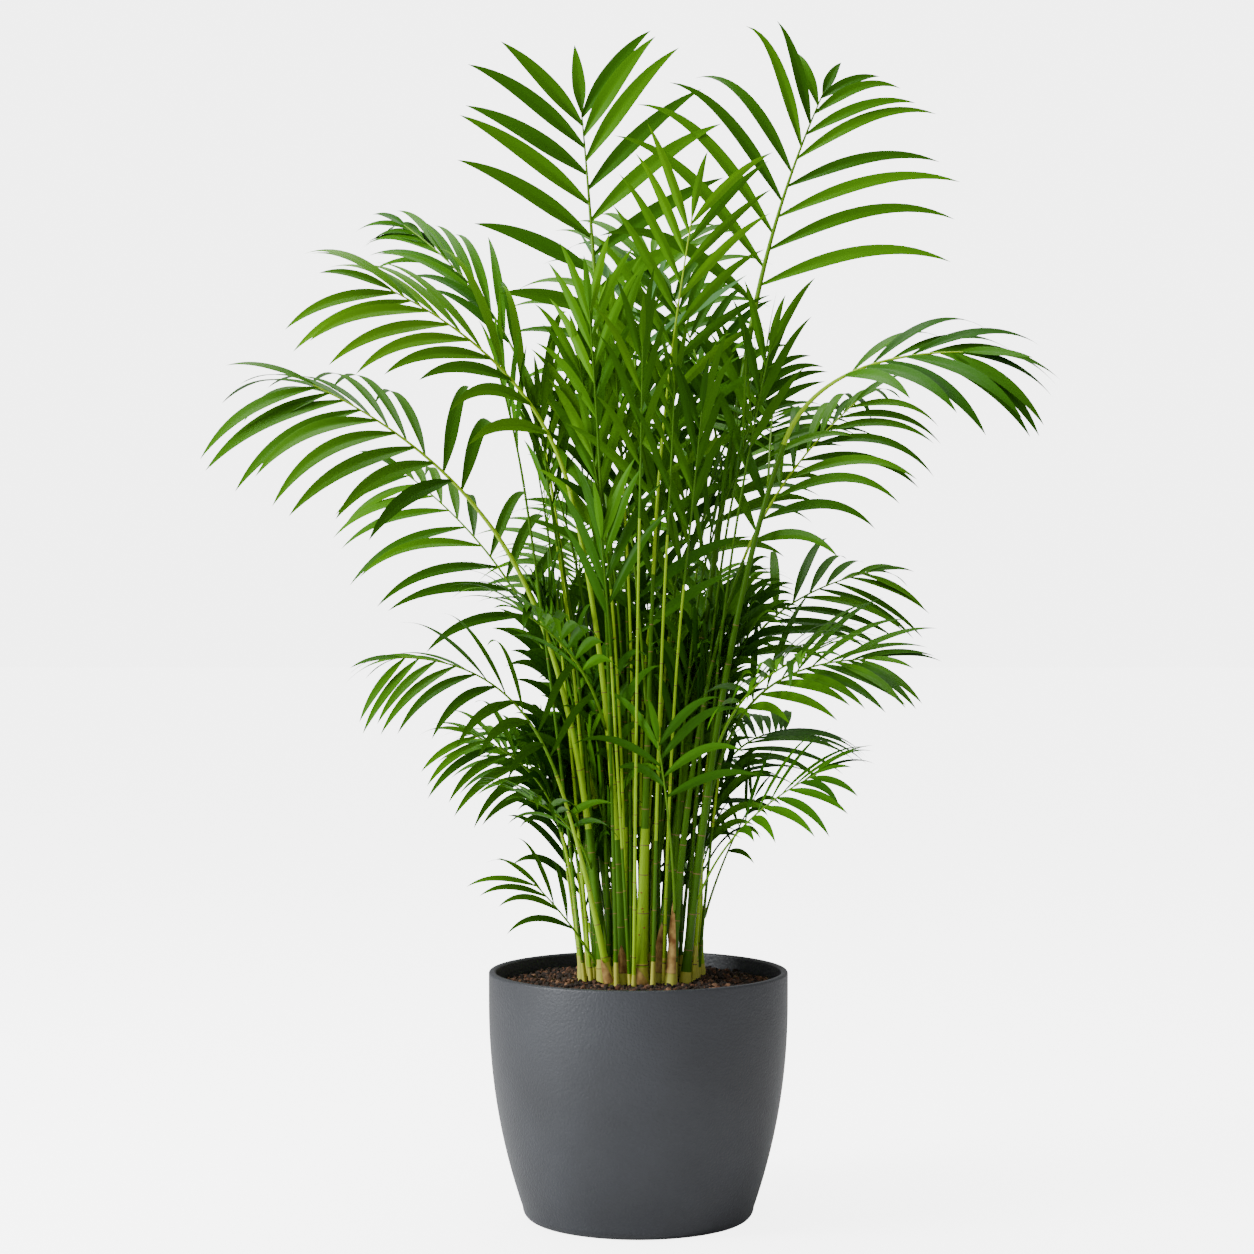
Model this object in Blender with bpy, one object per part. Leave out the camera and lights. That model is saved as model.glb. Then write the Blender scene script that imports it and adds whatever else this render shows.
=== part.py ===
"""A potted chamaedorea palm: a clump of canes with arching, feather-leaved fronds in a round pot.

Metres, +Z up. The origin is the centre of the pot's flat underside, and -Y is the front.
Every cane and frond follows one curve each, placed by a direction, a reach and a rise, and every
leaflet follows from its frond's kind.
"""

import math
from typing import NamedTuple

import bmesh
import bpy
from mathutils import Vector
from mathutils.bvhtree import BVHTree

UP = Vector((0, 0, 1))
CLEAR = 0.0003
MERGE = 0.00001
CURVE_STEPS = 24
HALVINGS = 30

# Pot
POT_HEIGHT = 0.249
RIM_RADIUS = 0.150
SHOULDER = 0.220
FOOT_DRAW = 0.038
FOOT_POWER = 2.1
FOOT_ROUNDING = 0.012
WALL = 0.007
FLOOR = 0.007
LIP_ROUNDING = 0.0025
FOOT_STEPS = 3
OUTER_LEVELS = (0.040, 0.075, 0.115, 0.160, SHOULDER)
INNER_LEVELS = (0.040, 0.090, 0.160)
POT_SIDES = 40

# Soil
SOIL_EDGE = 0.233
SOIL_TOP = 0.240
MOUND_RADIUS = 0.078
SOIL_GAP = 0.0009
SOIL_SIDES = 28

# Canes
CANE_SIDES = 6
CANE_RINGS = 7
CANE_CROOK = 0.34
TAPER_POWER = 1.3
STALK_OVER_RIB = 0.0002
FLARE = 1.3
FLARE_HEIGHT = 0.014

# Ribs and leaflets
RIB_SIDES = 3
RIB_RINGS = 9
RIB_CROOK = 0.48
RIB_TIP_RADIUS = 0.0009
BLADE_END = 0.98
CLOSING = 1.3
OPEN_AT_ROOT = 68
OPEN_AT_TIP = 36
LIFT = 12
OPEN_VARIES = 5
LIFT_VARIES = 8
LENGTH_VARIES = 0.07
SINK_VARIES = 0.25
SINK_POWER = 1.8
END_AT = 0.99
END_LENGTH = 0.66
END_WIDTH = 0.8
END_SINK = 0.6
WIDTH_AT_LEAST = 0.75
LEAFLET_STEPS = 12
LONG_LEAFLET = 0.085
LONG_SECTIONS = ((2, 0.8), (7, 1.0))
SHORT_SECTIONS = ((4, 1.0),)
THICKNESS_SHARE = 0.0115
KEEL_SHARE = 0.09
LEAF_GAP = 0.0006
MOST_SOLID_PAIRS = 7
FEWER_SOLID_PAIRS = 6
TRIES = ((1.0, 0), (1.0, 14), (1.0, -14), (0.8, 0), (0.62, 0), (0.62, 16), (0.45, 0))


class Kind(NamedTuple):
    """What the fronds of one kind share.

    A leaflet's length is the longest at longest_at along the blade, and has these shares of it
    at the blade's root and tip. sink is how far a leaflet's heading falls by its end.
    """
    pairs: int
    leaflet: float
    width: float
    root_share: float
    longest_at: float
    tip_share: float
    sink: float
    rib: float


KINDS = {
    "broad": Kind(7, 0.160, 0.0180, 0.62, 0.55, 0.72, 0.45, 0.0031),
    "feather": Kind(8, 0.205, 0.0140, 0.90, 0.15, 0.34, 0.90, 0.0034),
    "wide": Kind(9, 0.165, 0.0160, 0.78, 0.45, 0.80, 1.10, 0.0026),
    "long": Kind(10, 0.165, 0.0130, 0.78, 0.45, 0.80, 1.10, 0.0022),
    "mid": Kind(9, 0.125, 0.0108, 0.80, 0.40, 0.62, 1.10, 0.0018),
    "small": Kind(7, 0.095, 0.0088, 0.84, 0.35, 0.62, 1.10, 0.0015),
    "sparse": Kind(4, 0.105, 0.0130, 0.90, 0.40, 0.80, 1.00, 0.0016),
    "spear": Kind(1, 0.140, 0.0100, 1.00, 0.50, 1.00, 0.02, 0.0018),
}


class Cane(NamedTuple):
    """A cane: its foot on the soil, the way it leans, how far and how high its top is."""
    name: str
    foot: tuple
    turn: float
    reach: float
    top: float
    lean: float
    thick: float


class Frond(NamedTuple):
    """A frond: the cane and the height that it leaves it at (TOP goes on from its end)."""
    name: str
    cane: str
    at: float
    turn: float
    lean: float
    reach: float
    rise: float
    kind: str
    roll: float = 0
    twist: float = 0
    lift: float = LIFT
    open: float = 1.0
    size: float = 1.0
    sink: float = 1.0
    bare: float = 0.06
    crook: float = RIB_CROOK
    first: int = -1
    tone: str = "mid"


TOP = 0.0

CANES = (
    Cane("cane_centre", (0.002, -0.042), -56, 0.022, 0.646, 4, 0.0068),
    Cane("cane_tall_left", (-0.006, -0.012), 111, 0.097, 0.890, 9, 0.0052),
    Cane("cane_tall_right", (0.018, -0.030), 43, 0.132, 0.894, 14, 0.0048),
    Cane("cane_upper_left", (-0.015, -0.044), 205, 0.058, 0.729, 16, 0.0043),
    Cane("cane_upper_back", (-0.022, 0.004), 142, 0.092, 0.772, 12, 0.0043),
    Cane("cane_left", (-0.036, -0.030), 192, 0.099, 0.675, 33, 0.0046),
    Cane("cane_left_mid", (-0.042, 0.018), 168, 0.055, 0.569, 22, 0.0040),
    Cane("cane_left_low", (-0.028, -0.049), 223, 0.071, 0.452, 25, 0.0042),
    Cane("cane_left_foot", (-0.056, -0.010), 200, 0.030, 0.411, 22, 0.0040),
    Cane("cane_right", (0.046, -0.036), -14, 0.099, 0.773, 20, 0.0048),
    Cane("cane_right_mid", (0.032, -0.046), 11, 0.073, 0.660, 22, 0.0052),
    Cane("cane_right_back", (0.062, 0.026), 40, 0.046, 0.545, 30, 0.0050),
    Cane("cane_right_low", (0.056, -0.008), -20, 0.047, 0.501, 32, 0.0040),
    Cane("cane_spear", (0.004, 0.014), 100, 0.040, 0.850, 3, 0.0040),
    Cane("cane_back_left", (-0.028, 0.044), 112, 0.080, 0.590, 24, 0.0046),
    Cane("cane_back", (0.004, 0.048), 92, 0.070, 0.760, 16, 0.0050),
    Cane("cane_back_right", (0.034, 0.046), 72, 0.085, 0.640, 22, 0.0046),
)

FRONDS = (
    Frond("frond_centre", "cane_centre", TOP, -58, 0, 0.070, 0.345, "long", roll=-25, open=0.80,
          size=0.78, sink=0.4, tone="bright"),
    Frond("frond_tall_left", "cane_tall_left", TOP, 111, 0, 0.050, 0.235, "broad", roll=-20,
          first=1),
    Frond("frond_tall_right", "cane_tall_right", TOP, 43, 0, 0.107, 0.251, "feather", roll=45,
          open=0.9, first=1),
    Frond("frond_upper_left", "cane_upper_left", TOP, 205, 0, 0.186, 0.188, "wide", roll=-60,
          twist=5, lift=-18, open=0.78, sink=0.85, size=0.88, bare=0.12, tone="bright"),
    Frond("frond_left", "cane_left", TOP, 192, 0, 0.187, 0.155, "wide", roll=-50, twist=20,
          lift=-30, size=1.03, bare=0.25),
    Frond("frond_right", "cane_right", TOP, -14, 0, 0.176, 0.088, "broad", roll=35, twist=5,
          lift=-22, open=0.62, sink=2.4, size=0.92, bare=0.4, tone="deep"),
    Frond("frond_right_mid", "cane_right_mid", TOP, 11, 0, 0.116, 0.158, "mid", roll=50,
          twist=-15, lift=-25, open=0.8, sink=1.3, size=1.1),
    Frond("frond_left_low", "cane_left_low", TOP, 203, 0, 0.160, 0.116, "mid", roll=-45, twist=15,
          lift=-32, sink=0.9, crook=0.64),
    Frond("frond_right_low", "cane_right_low", TOP, -20, 0, 0.130, 0.062, "mid", roll=50,
          twist=-15, lift=-10, open=0.8, sink=0.6),
    Frond("frond_right_back", "cane_right_back", TOP, 22, 0, 0.155, 0.102, "mid", roll=45,
          twist=-15, lift=-22, open=0.8, sink=0.8),
    Frond("frond_upper_back", "cane_upper_back", TOP, 142, 0, 0.193, 0.240, "mid", roll=-40,
          lift=-20, open=0.3, sink=0.8, bare=0.3, tone="deep"),
    Frond("frond_left_mid", "cane_left_mid", TOP, 168, 0, 0.146, 0.180, "mid", roll=-45,
          lift=-40, sink=0.9, size=1.1),
    Frond("frond_left_foot", "cane_left_foot", TOP, 200, 0, 0.083, 0.076, "small", roll=-60,
          twist=20, lift=-30, size=1.1, tone="deep"),
    Frond("frond_spear", "cane_spear", TOP, 60, 0, 0.020, 0.060, "spear", tone="pale"),
    Frond("frond_back_left", "cane_back_left", TOP, 88, 0, 0.190, 0.120, "mid"),
    Frond("frond_back", "cane_back", TOP, 85, 0, 0.170, 0.230, "long", size=0.95),
    Frond("frond_back_right", "cane_back_right", TOP, 75, 0, 0.200, 0.150, "mid"),
    Frond("frond_front_small", "cane_right_mid", 0.315, -110, 5, 0.050, 0.170, "sparse",
          bare=0.55),
    Frond("frond_right_foot", "cane_right", 0.330, -35, 25, 0.135, 0.125, "small", roll=50,
          twist=-15, lift=-10, open=0.8, sink=0.7, size=1.1, bare=0.4, tone="deep"),
    Frond("frond_right_foot_small", "cane_right_back", 0.300, -10, 15, 0.050, 0.120, "sparse",
          roll=40, size=0.6, bare=0.5),
    Frond("frond_left_foot_small", "cane_left", 0.262, 187, 30, 0.060, 0.078, "sparse", roll=-35,
          lift=-10, open=0.7, size=0.85, bare=0.2),
    Frond("frond_inner_left", "cane_tall_left", 0.580, 75, 8, 0.055, 0.250, "mid", roll=-20,
          open=0.8, sink=0.6, bare=0.2),
    Frond("frond_inner_right", "cane_tall_right", 0.660, 60, 12, 0.060, 0.180, "mid", roll=40,
          open=0.8, sink=0.7, bare=0.2),
    Frond("frond_inner_back", "cane_centre", 0.520, 120, 8, 0.060, 0.300, "mid", roll=-10,
          open=0.8, sink=0.5, size=1.1, bare=0.2, tone="deep"),
    Frond("frond_high_back", "cane_tall_right", 0.740, 118, 14, 0.110, 0.200, "mid", bare=0.15,
          open=0.8, sink=0.6, tone="deep"),
    Frond("frond_low_back_left", "cane_back_left", 0.400, 128, 35, 0.160, 0.070, "small",
          size=1.15, bare=0.3, tone="deep"),
    Frond("frond_low_back", "cane_back", 0.380, 95, 35, 0.180, 0.080, "small", size=1.15,
          bare=0.3, tone="deep"),
    Frond("frond_low_back_right", "cane_back_right", 0.360, 65, 35, 0.160, 0.080, "small",
          size=1.15, bare=0.3, tone="deep"),
    Frond("frond_mid_back_left", "cane_upper_back", 0.550, 90, 30, 0.190, 0.120, "mid",
          bare=0.3),
    Frond("frond_mid_back", "cane_back", 0.500, 88, 30, 0.200, 0.140, "mid", bare=0.3,
          tone="deep"),
    Frond("frond_mid_back_right", "cane_back_right", 0.500, 80, 30, 0.200, 0.140, "mid",
          bare=0.3),
    Frond("frond_front_left", "cane_upper_left", 0.500, 235, 25, 0.130, 0.110, "mid", roll=-20,
          open=0.8, bare=0.3),
    Frond("frond_front_left_foot", "cane_left", 0.360, 235, 30, 0.100, 0.070, "small", roll=-15,
          bare=0.3),
    Frond("frond_front_right", "cane_right", 0.480, -50, 28, 0.130, 0.090, "mid", roll=20,
          bare=0.3, size=0.9),
    Frond("frond_right_side", "cane_right_back", 0.420, 55, 35, 0.150, 0.060, "mid", roll=20,
          bare=0.3, tone="deep"),
    Frond("frond_left_side", "cane_left_mid", 0.400, 150, 35, 0.100, 0.070, "small", roll=-20,
          bare=0.3, tone="deep"),
    Frond("frond_right_upper", "cane_right", 0.725, 85, 30, 0.140, 0.090, "mid", roll=10,
          bare=0.25),
    Frond("frond_core_high", "cane_tall_left", 0.660, 30, 20, 0.110, 0.180, "mid", open=0.8,
          sink=0.7, bare=0.25),
    Frond("frond_core_right", "cane_spear", 0.260, 35, 8, 0.070, 0.320, "mid", roll=20,
          open=0.8, sink=0.6, bare=0.5),
    Frond("frond_core_left", "cane_upper_back", 0.260, 150, 10, 0.060, 0.340, "mid", roll=-20,
          open=0.8, sink=0.6, bare=0.5),
    Frond("frond_core_back", "cane_back_right", 0.270, 120, 6, 0.050, 0.380, "mid", open=0.8,
          sink=0.6, bare=0.5, tone="deep"),
)

TOP_RADII = {frond.cane: KINDS[frond.kind].rib + STALK_OVER_RIB
             for frond in FRONDS if frond.at == TOP}


def clear_scene():
    for obj in list(bpy.data.objects):
        bpy.data.objects.remove(obj, do_unlink=True)


def material(name, colour, roughness):
    """A Principled material; colour is linear."""
    made = bpy.data.materials.new(name)
    made.use_nodes = True
    shader = made.node_tree.nodes["Principled BSDF"]
    shader.inputs["Base Color"].default_value = (*colour, 1)
    shader.inputs["Roughness"].default_value = roughness
    shader.inputs["Metallic"].default_value = 0
    return made


def materials():
    return {
        "pot": material("pot_slate_plastic", (0.055, 0.060, 0.068), 0.45),
        "soil": material("potting_soil", (0.035, 0.020, 0.012), 0.95),
        "cane": material("cane_yellow_green", (0.230, 0.340, 0.045), 0.50),
        "deep": material("leaf_deep_green", (0.020, 0.090, 0.012), 0.45),
        "mid": material("leaf_mid_green", (0.035, 0.150, 0.012), 0.42),
        "bright": material("leaf_bright_green", (0.065, 0.220, 0.012), 0.42),
        "pale": material("leaf_pale_blue_green", (0.120, 0.250, 0.110), 0.50),
    }


def link(name, mesh, finish):
    mesh.materials.clear()
    mesh.materials.append(finish)
    obj = bpy.data.objects.new(name, mesh)
    bpy.context.scene.collection.objects.link(obj)
    return obj


# Turned shapes

def turned(profile, sides):
    """A closed mesh turned round Z from (radius, height) points that start and end on the axis."""
    bm = bmesh.new()
    verts = [bm.verts.new((radius, 0, height)) for radius, height in profile]
    edges = [bm.edges.new(pair) for pair in zip(verts, verts[1:])]
    bmesh.ops.spin(bm, geom=verts + edges, cent=(0, 0, 0), axis=(0, 0, 1), angle=math.tau,
                   steps=sides, use_merge=True)
    bmesh.ops.remove_doubles(bm, verts=bm.verts, dist=MERGE)
    bmesh.ops.recalc_face_normals(bm, faces=bm.faces)
    mesh = bpy.data.meshes.new("turned")
    bm.to_mesh(mesh)
    bm.free()
    return mesh


def wall_radius(height):
    """The pot's outer radius: upright at the rim, drawn in toward the foot."""
    below = max(0.0, (SHOULDER - height) / SHOULDER)
    return RIM_RADIUS - FOOT_DRAW * below ** FOOT_POWER


def pot_profile():
    """From the middle of the underside, up the outside, over the lip and down to the floor."""
    corner = wall_radius(FOOT_ROUNDING) - FOOT_ROUNDING
    points = [(0, 0)]
    for step in range(FOOT_STEPS + 1):
        angle = math.radians(90 * step / FOOT_STEPS)
        out = corner + FOOT_ROUNDING * math.sin(angle)
        points.append((out, FOOT_ROUNDING * (1 - math.cos(angle))))
    for height in OUTER_LEVELS:
        points.append((wall_radius(height), height))
    points.append((RIM_RADIUS, POT_HEIGHT - LIP_ROUNDING))
    points.append((RIM_RADIUS - LIP_ROUNDING, POT_HEIGHT))
    points.append((RIM_RADIUS - WALL + LIP_ROUNDING, POT_HEIGHT))
    points.append((RIM_RADIUS - WALL, POT_HEIGHT - LIP_ROUNDING))
    for height in reversed(INNER_LEVELS):
        points.append((wall_radius(height) - WALL, height))
    points.append((corner, FLOOR))
    points.append((0, FLOOR))
    return points


def soil_profile():
    """The soil fills the pot, and is mounded to a flat top under the clump."""
    inner = WALL + SOIL_GAP
    floor = FLOOR + CLEAR
    corner = wall_radius(FOOT_ROUNDING) - FOOT_ROUNDING - SOIL_GAP * 2
    edge = wall_radius(SOIL_EDGE) - inner
    points = [(0, floor), (corner, floor)]
    for height in INNER_LEVELS:
        points.append((wall_radius(height) - inner, height))
    points.append((edge, SOIL_EDGE))
    points.append(((edge + MOUND_RADIUS) / 2, (SOIL_EDGE + SOIL_TOP) / 2))
    points.append((MOUND_RADIUS, SOIL_TOP))
    points.append((0, SOIL_TOP))
    return points


# Curves

def direction(turn):
    angle = math.radians(turn)
    return Vector((math.cos(angle), math.sin(angle), 0))


def leaning(turn, lean):
    """The heading that leans this many degrees from upright, this way round."""
    angle = math.radians(lean)
    return direction(turn) * math.sin(angle) + UP * math.cos(angle)


class Curve:
    """A quadratic curve from root toward crook to tip, read by its share of length."""

    def __init__(self, root, crook, tip, steps=CURVE_STEPS):
        self.root, self.crook, self.tip = root, crook, tip
        self.steps = steps
        places = [self.at(step / steps) for step in range(steps + 1)]
        self.lengths = [0.0]
        for one, two in zip(places, places[1:]):
            self.lengths.append(self.lengths[-1] + (two - one).length)

    def at(self, t):
        return self.root * (1 - t) ** 2 + self.crook * (2 * t * (1 - t)) + self.tip * t * t

    def parameter(self, share):
        target = share * self.lengths[-1]
        for step in range(self.steps):
            here, there = self.lengths[step], self.lengths[step + 1]
            if target <= there:
                return (step + (target - here) / (there - here)) / self.steps
        return 1.0

    def point(self, share):
        return self.at(self.parameter(share))

    def heading(self, share):
        t = self.parameter(share)
        return ((self.crook - self.root) * (1 - t) + (self.tip - self.crook) * t).normalized()

    def share_at_height(self, height):
        low, high = 0.0, 1.0
        for _ in range(HALVINGS):
            middle = (low + high) / 2
            if self.point(middle).z < height:
                low = middle
            else:
                high = middle
        return low


def cane_curve(cane):
    foot = Vector((*cane.foot, SOIL_TOP + CLEAR))
    top = foot + direction(cane.turn) * cane.reach
    top.z = cane.top
    crook = top - leaning(cane.turn, cane.lean) * (top - foot).length * CANE_CROOK
    return Curve(foot, crook, top)


def cane_radius(cane, share):
    """Thick at the foot, tapering to the thickness of its frond's stalk at the top."""
    end = TOP_RADII[cane.name]
    return end + (cane.thick - end) * (1 - share) ** TAPER_POWER


def rib_curve(frond, canes):
    """A top frond goes on from its cane's end, and a side frond starts beside its cane."""
    cane, curve = canes[frond.cane]
    if frond.at == TOP:
        heading = curve.heading(1)
        root = curve.point(1) + heading * CLEAR
    else:
        heading = leaning(frond.turn, frond.lean)
        share = curve.share_at_height(frond.at)
        along = curve.heading(share)
        away = direction(frond.turn)
        away = (away - along * away.dot(along)).normalized()
        gap = cane_radius(cane, share) + KINDS[frond.kind].rib + CLEAR
        root = curve.point(share) + away * gap
    tip = root + direction(frond.turn) * frond.reach + UP * frond.rise
    crook = root + heading * (tip - root).length * frond.crook
    return Curve(root, crook, tip)


def rib_radius(frond, share):
    start = KINDS[frond.kind].rib
    return start + (RIB_TIP_RADIUS - start) * share


# Limbs

def limb_mesh(rings):
    """A tapering limb through rings of points, capped at both ends."""
    bm = bmesh.new()
    rows = [[bm.verts.new(point) for point in ring] for ring in rings]
    sides = len(rings[0])
    for one, two in zip(rows, rows[1:]):
        for i in range(sides):
            j = (i + 1) % sides
            bm.faces.new((one[i], one[j], two[j], two[i]))
    bm.faces.new(rows[0])
    bm.faces.new(rows[-1])
    bmesh.ops.recalc_face_normals(bm, faces=bm.faces)
    mesh = bpy.data.meshes.new("limb")
    bm.to_mesh(mesh)
    bm.free()
    return mesh


def ring_round(centre, heading, facing, radius, sides):
    """Points round a centre, square to heading, with a flat side turned away from facing."""
    across = heading.cross(facing).normalized()
    front = across.cross(heading)
    ring = []
    for i in range(sides):
        angle = math.tau * i / sides
        ring.append(centre + (front * math.cos(angle) + across * math.sin(angle)) * radius)
    return ring


def cane_mesh(cane, curve):
    """A cane from its flared foot, cut flat on the soil, to its flat top."""
    length = curve.lengths[-1]
    facing = direction(cane.turn)
    shares = [0, FLARE_HEIGHT / length]
    shares += [step / CANE_RINGS for step in range(1, CANE_RINGS + 1)]
    rings = []
    for share in shares:
        radius = cane_radius(cane, share)
        heading = curve.heading(share)
        if share == 0:
            radius *= FLARE
            heading = UP
        rings.append(ring_round(curve.point(share), heading, facing, radius, CANE_SIDES))
    return limb_mesh(rings)


def rib_mesh(frond, curve):
    """A frond's stalk and rib, one three-sided limb with its flat side below."""
    rings = []
    for step in range(RIB_RINGS + 1):
        share = step / RIB_RINGS
        heading = curve.heading(share)
        facing = blade_frame(frond, heading, share)[1]
        radius = rib_radius(frond, share)
        rings.append(ring_round(curve.point(share), heading, facing, radius, RIB_SIDES))
    return limb_mesh(rings)


# Leaflets

def blade_frame(frond, heading, share):
    """(side, face): across the blade, and out of its upper face, at a share of the rib."""
    level = Vector((-math.sin(math.radians(frond.turn)), math.cos(math.radians(frond.turn)), 0))
    level = (level - heading * level.dot(heading)).normalized()
    face = heading.cross(level)
    roll = math.radians(frond.roll + frond.twist * share) * min(1, share / frond.bare)
    side = level * math.cos(roll) + face * math.sin(roll)
    return side, heading.cross(side)


def wobble(seed, step):
    """A number from -1 to 1 that is always the same for one leaflet."""
    value = math.sin(seed * 12.9898 + step * 78.233) * 43758.5453
    return 2 * (value - math.floor(value)) - 1


def length_share(kind, along):
    """How long a leaflet is at a place along the blade, as a share of the longest."""
    if along < kind.longest_at:
        return 1 - (1 - kind.root_share) * (1 - along / kind.longest_at) ** 2
    past = (along - kind.longest_at) / (1 - kind.longest_at)
    return 1 - (1 - kind.tip_share) * past ** 2


class Leaflet(NamedTuple):
    """Where a leaflet starts, its first heading, its upper face, and its size."""
    root: Vector
    heading: Vector
    face: Vector
    length: float
    width: float
    sink: float


def leaflets(frond, curve, pairs):
    """The leaflets of a frond, its two sides by turns, with one more at the tip."""
    kind = KINDS[frond.kind]
    seed = sum(ord(letter) for letter in frond.name)
    widen = kind.pairs / pairs
    found = []
    for step in range(2 * pairs):
        hand = -frond.first if step % 2 else frond.first
        along = 1 - (1 - (step + 0.5) / (2 * pairs)) ** CLOSING
        share = frond.bare + (BLADE_END - frond.bare) * along
        heading = curve.heading(share)
        side, face = blade_frame(frond, heading, share)
        opening = OPEN_AT_ROOT + (OPEN_AT_TIP - OPEN_AT_ROOT) * along
        opening = math.radians(opening * frond.open + OPEN_VARIES * wobble(seed, step))
        lift = LIFT + (frond.lift - LIFT) * along
        lift = math.radians(lift + LIFT_VARIES * wobble(seed, step + 0.75))
        first = heading * math.cos(opening) + side * hand * math.sin(opening)
        first = (first + face * math.sin(lift)).normalized()
        share_of_length = length_share(kind, along)
        length = kind.leaflet * frond.size * share_of_length
        length *= 1 + LENGTH_VARIES * wobble(seed, step + 0.5)
        width = kind.width * frond.size * widen
        width *= WIDTH_AT_LEAST + (1 - WIDTH_AT_LEAST) * share_of_length
        sink = kind.sink * frond.sink * (1 + SINK_VARIES * wobble(seed, step + 0.25))
        found.append(Leaflet(curve.point(share), first, face, length, width, sink))
    heading = curve.heading(1)
    face = blade_frame(frond, heading, 1)[1]
    length = kind.leaflet * frond.size * kind.tip_share * END_LENGTH
    width = kind.width * frond.size * END_WIDTH
    found.append(Leaflet(curve.point(END_AT), heading, face, length, width, kind.sink * END_SINK))
    return found


def spine(leaflet):
    """Points, headings and cross directions along a leaflet that sinks under its own weight."""
    across = leaflet.face.cross(leaflet.heading).normalized()
    point = leaflet.root.copy()
    stations = []
    for step in range(LEAFLET_STEPS + 1):
        share = step / LEAFLET_STEPS
        heading = leaflet.heading - UP * leaflet.sink * share ** SINK_POWER
        heading.normalize()
        level = (across - heading * across.dot(heading)).normalized()
        stations.append((point.copy(), heading, level))
        point += heading * leaflet.length / LEAFLET_STEPS
    return stations


def blade_rings(leaflet, grow=0.0):
    """Three-cornered sections of a leaflet's solid: two edges, and a keel below them."""
    stations = spine(leaflet)
    sections = LONG_SECTIONS if leaflet.length > LONG_LEAFLET else SHORT_SECTIONS
    deep = max(leaflet.length * THICKNESS_SHARE, leaflet.width * KEEL_SHARE)
    rings = []
    for index, share in sections:
        point, heading, level = stations[index]
        normal = heading.cross(level)
        half = level * (leaflet.width * share / 2 + grow)
        lift = normal * grow
        rings.append((point + half + lift, point - half + lift, point - normal * (deep + grow)))
    tip, heading, _ = stations[-1]
    return leaflet.root, rings, tip + heading * grow


def blade_mesh(root, rings, tip):
    """A leaflet's closed solid: a pointed root, its sections, and a pointed tip."""
    bm = bmesh.new()
    start = bm.verts.new(root)
    rows = [[bm.verts.new(point) for point in ring] for ring in rings]
    end = bm.verts.new(tip)
    for one, two in zip(rows, rows[1:]):
        for i in range(3):
            j = (i + 1) % 3
            bm.faces.new((one[i], one[j], two[j], two[i]))
    for i in range(3):
        j = (i + 1) % 3
        bm.faces.new((rows[0][j], rows[0][i], start))
        bm.faces.new((rows[-1][i], rows[-1][j], end))
    bmesh.ops.recalc_face_normals(bm, faces=bm.faces)
    bmesh.ops.triangulate(bm, faces=bm.faces)
    mesh = bpy.data.meshes.new("leaflet")
    bm.to_mesh(mesh)
    bm.free()
    return mesh


class Space:
    """The solids that stand so far, so that a new one can keep clear of them."""

    def __init__(self):
        self.taken = []

    def tree(self, mesh):
        points = [vert.co for vert in mesh.vertices]
        faces = [tuple(face.vertices) for face in mesh.polygons]
        low = Vector([min(point[i] for point in points) for i in range(3)])
        high = Vector([max(point[i] for point in points) for i in range(3)])
        return BVHTree.FromPolygons(points, faces), low, high

    def take(self, owner, mesh):
        self.taken.append((owner, *self.tree(mesh)))

    def touched(self, owner, mesh):
        """The owner of the first solid that this mesh meets, other than its own."""
        tree, low, high = self.tree(mesh)
        for other, other_tree, other_low, other_high in self.taken:
            if other == owner:
                continue
            if any(low[i] > other_high[i] or high[i] < other_low[i] for i in range(3)):
                continue
            if tree.overlap(other_tree):
                return other
        return None


def clear_blade(owner, leaflet, space):
    """A leaflet's solid where it is clear of the rest: turned a little, shorter, or none."""
    side = leaflet.heading.cross(leaflet.face).normalized()
    for share, tilt in TRIES:
        angle = math.radians(tilt)
        heading = leaflet.heading * math.cos(angle) + leaflet.face * math.sin(angle)
        tried = leaflet._replace(heading=heading.normalized(), length=leaflet.length * share,
                                 face=side.cross(heading).normalized())
        grown = blade_mesh(*blade_rings(tried, LEAF_GAP))
        meets = space.touched(owner, grown)
        bpy.data.meshes.remove(grown)
        if meets is None:
            return blade_mesh(*blade_rings(tried))
    return None


def joined(name, base, pieces, finish):
    """The base and its pieces made one body by one Boolean union on their collection."""
    frond = link(name, base, finish)
    group = bpy.data.collections.new(name + "_pieces")
    bpy.context.scene.collection.children.link(group)
    helpers = []
    for mesh in pieces:
        helper = bpy.data.objects.new("piece", mesh)
        group.objects.link(helper)
        helpers.append(helper)
    union = frond.modifiers.new("union", "BOOLEAN")
    union.operation = "UNION"
    union.operand_type = "COLLECTION"
    union.collection = group
    union.solver = "EXACT"
    graph = bpy.context.evaluated_depsgraph_get()
    whole = bpy.data.meshes.new_from_object(frond.evaluated_get(graph))
    frond.modifiers.clear()
    frond.data = whole
    whole.materials.clear()
    whole.materials.append(finish)
    for helper in helpers:
        bpy.data.objects.remove(helper, do_unlink=True)
    bpy.data.collections.remove(group)
    return frond


# The plant

def build_pot(finishes):
    link("pot", turned(pot_profile(), POT_SIDES), finishes["pot"])
    link("soil", turned(soil_profile(), SOIL_SIDES), finishes["soil"])


def build_canes(finishes, space):
    canes = {}
    for cane in CANES:
        curve = cane_curve(cane)
        canes[cane.name] = (cane, curve)
        mesh = cane_mesh(cane, curve)
        space.take(cane.name, mesh)
        link(cane.name, mesh, finishes["cane"])
    return canes


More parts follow.
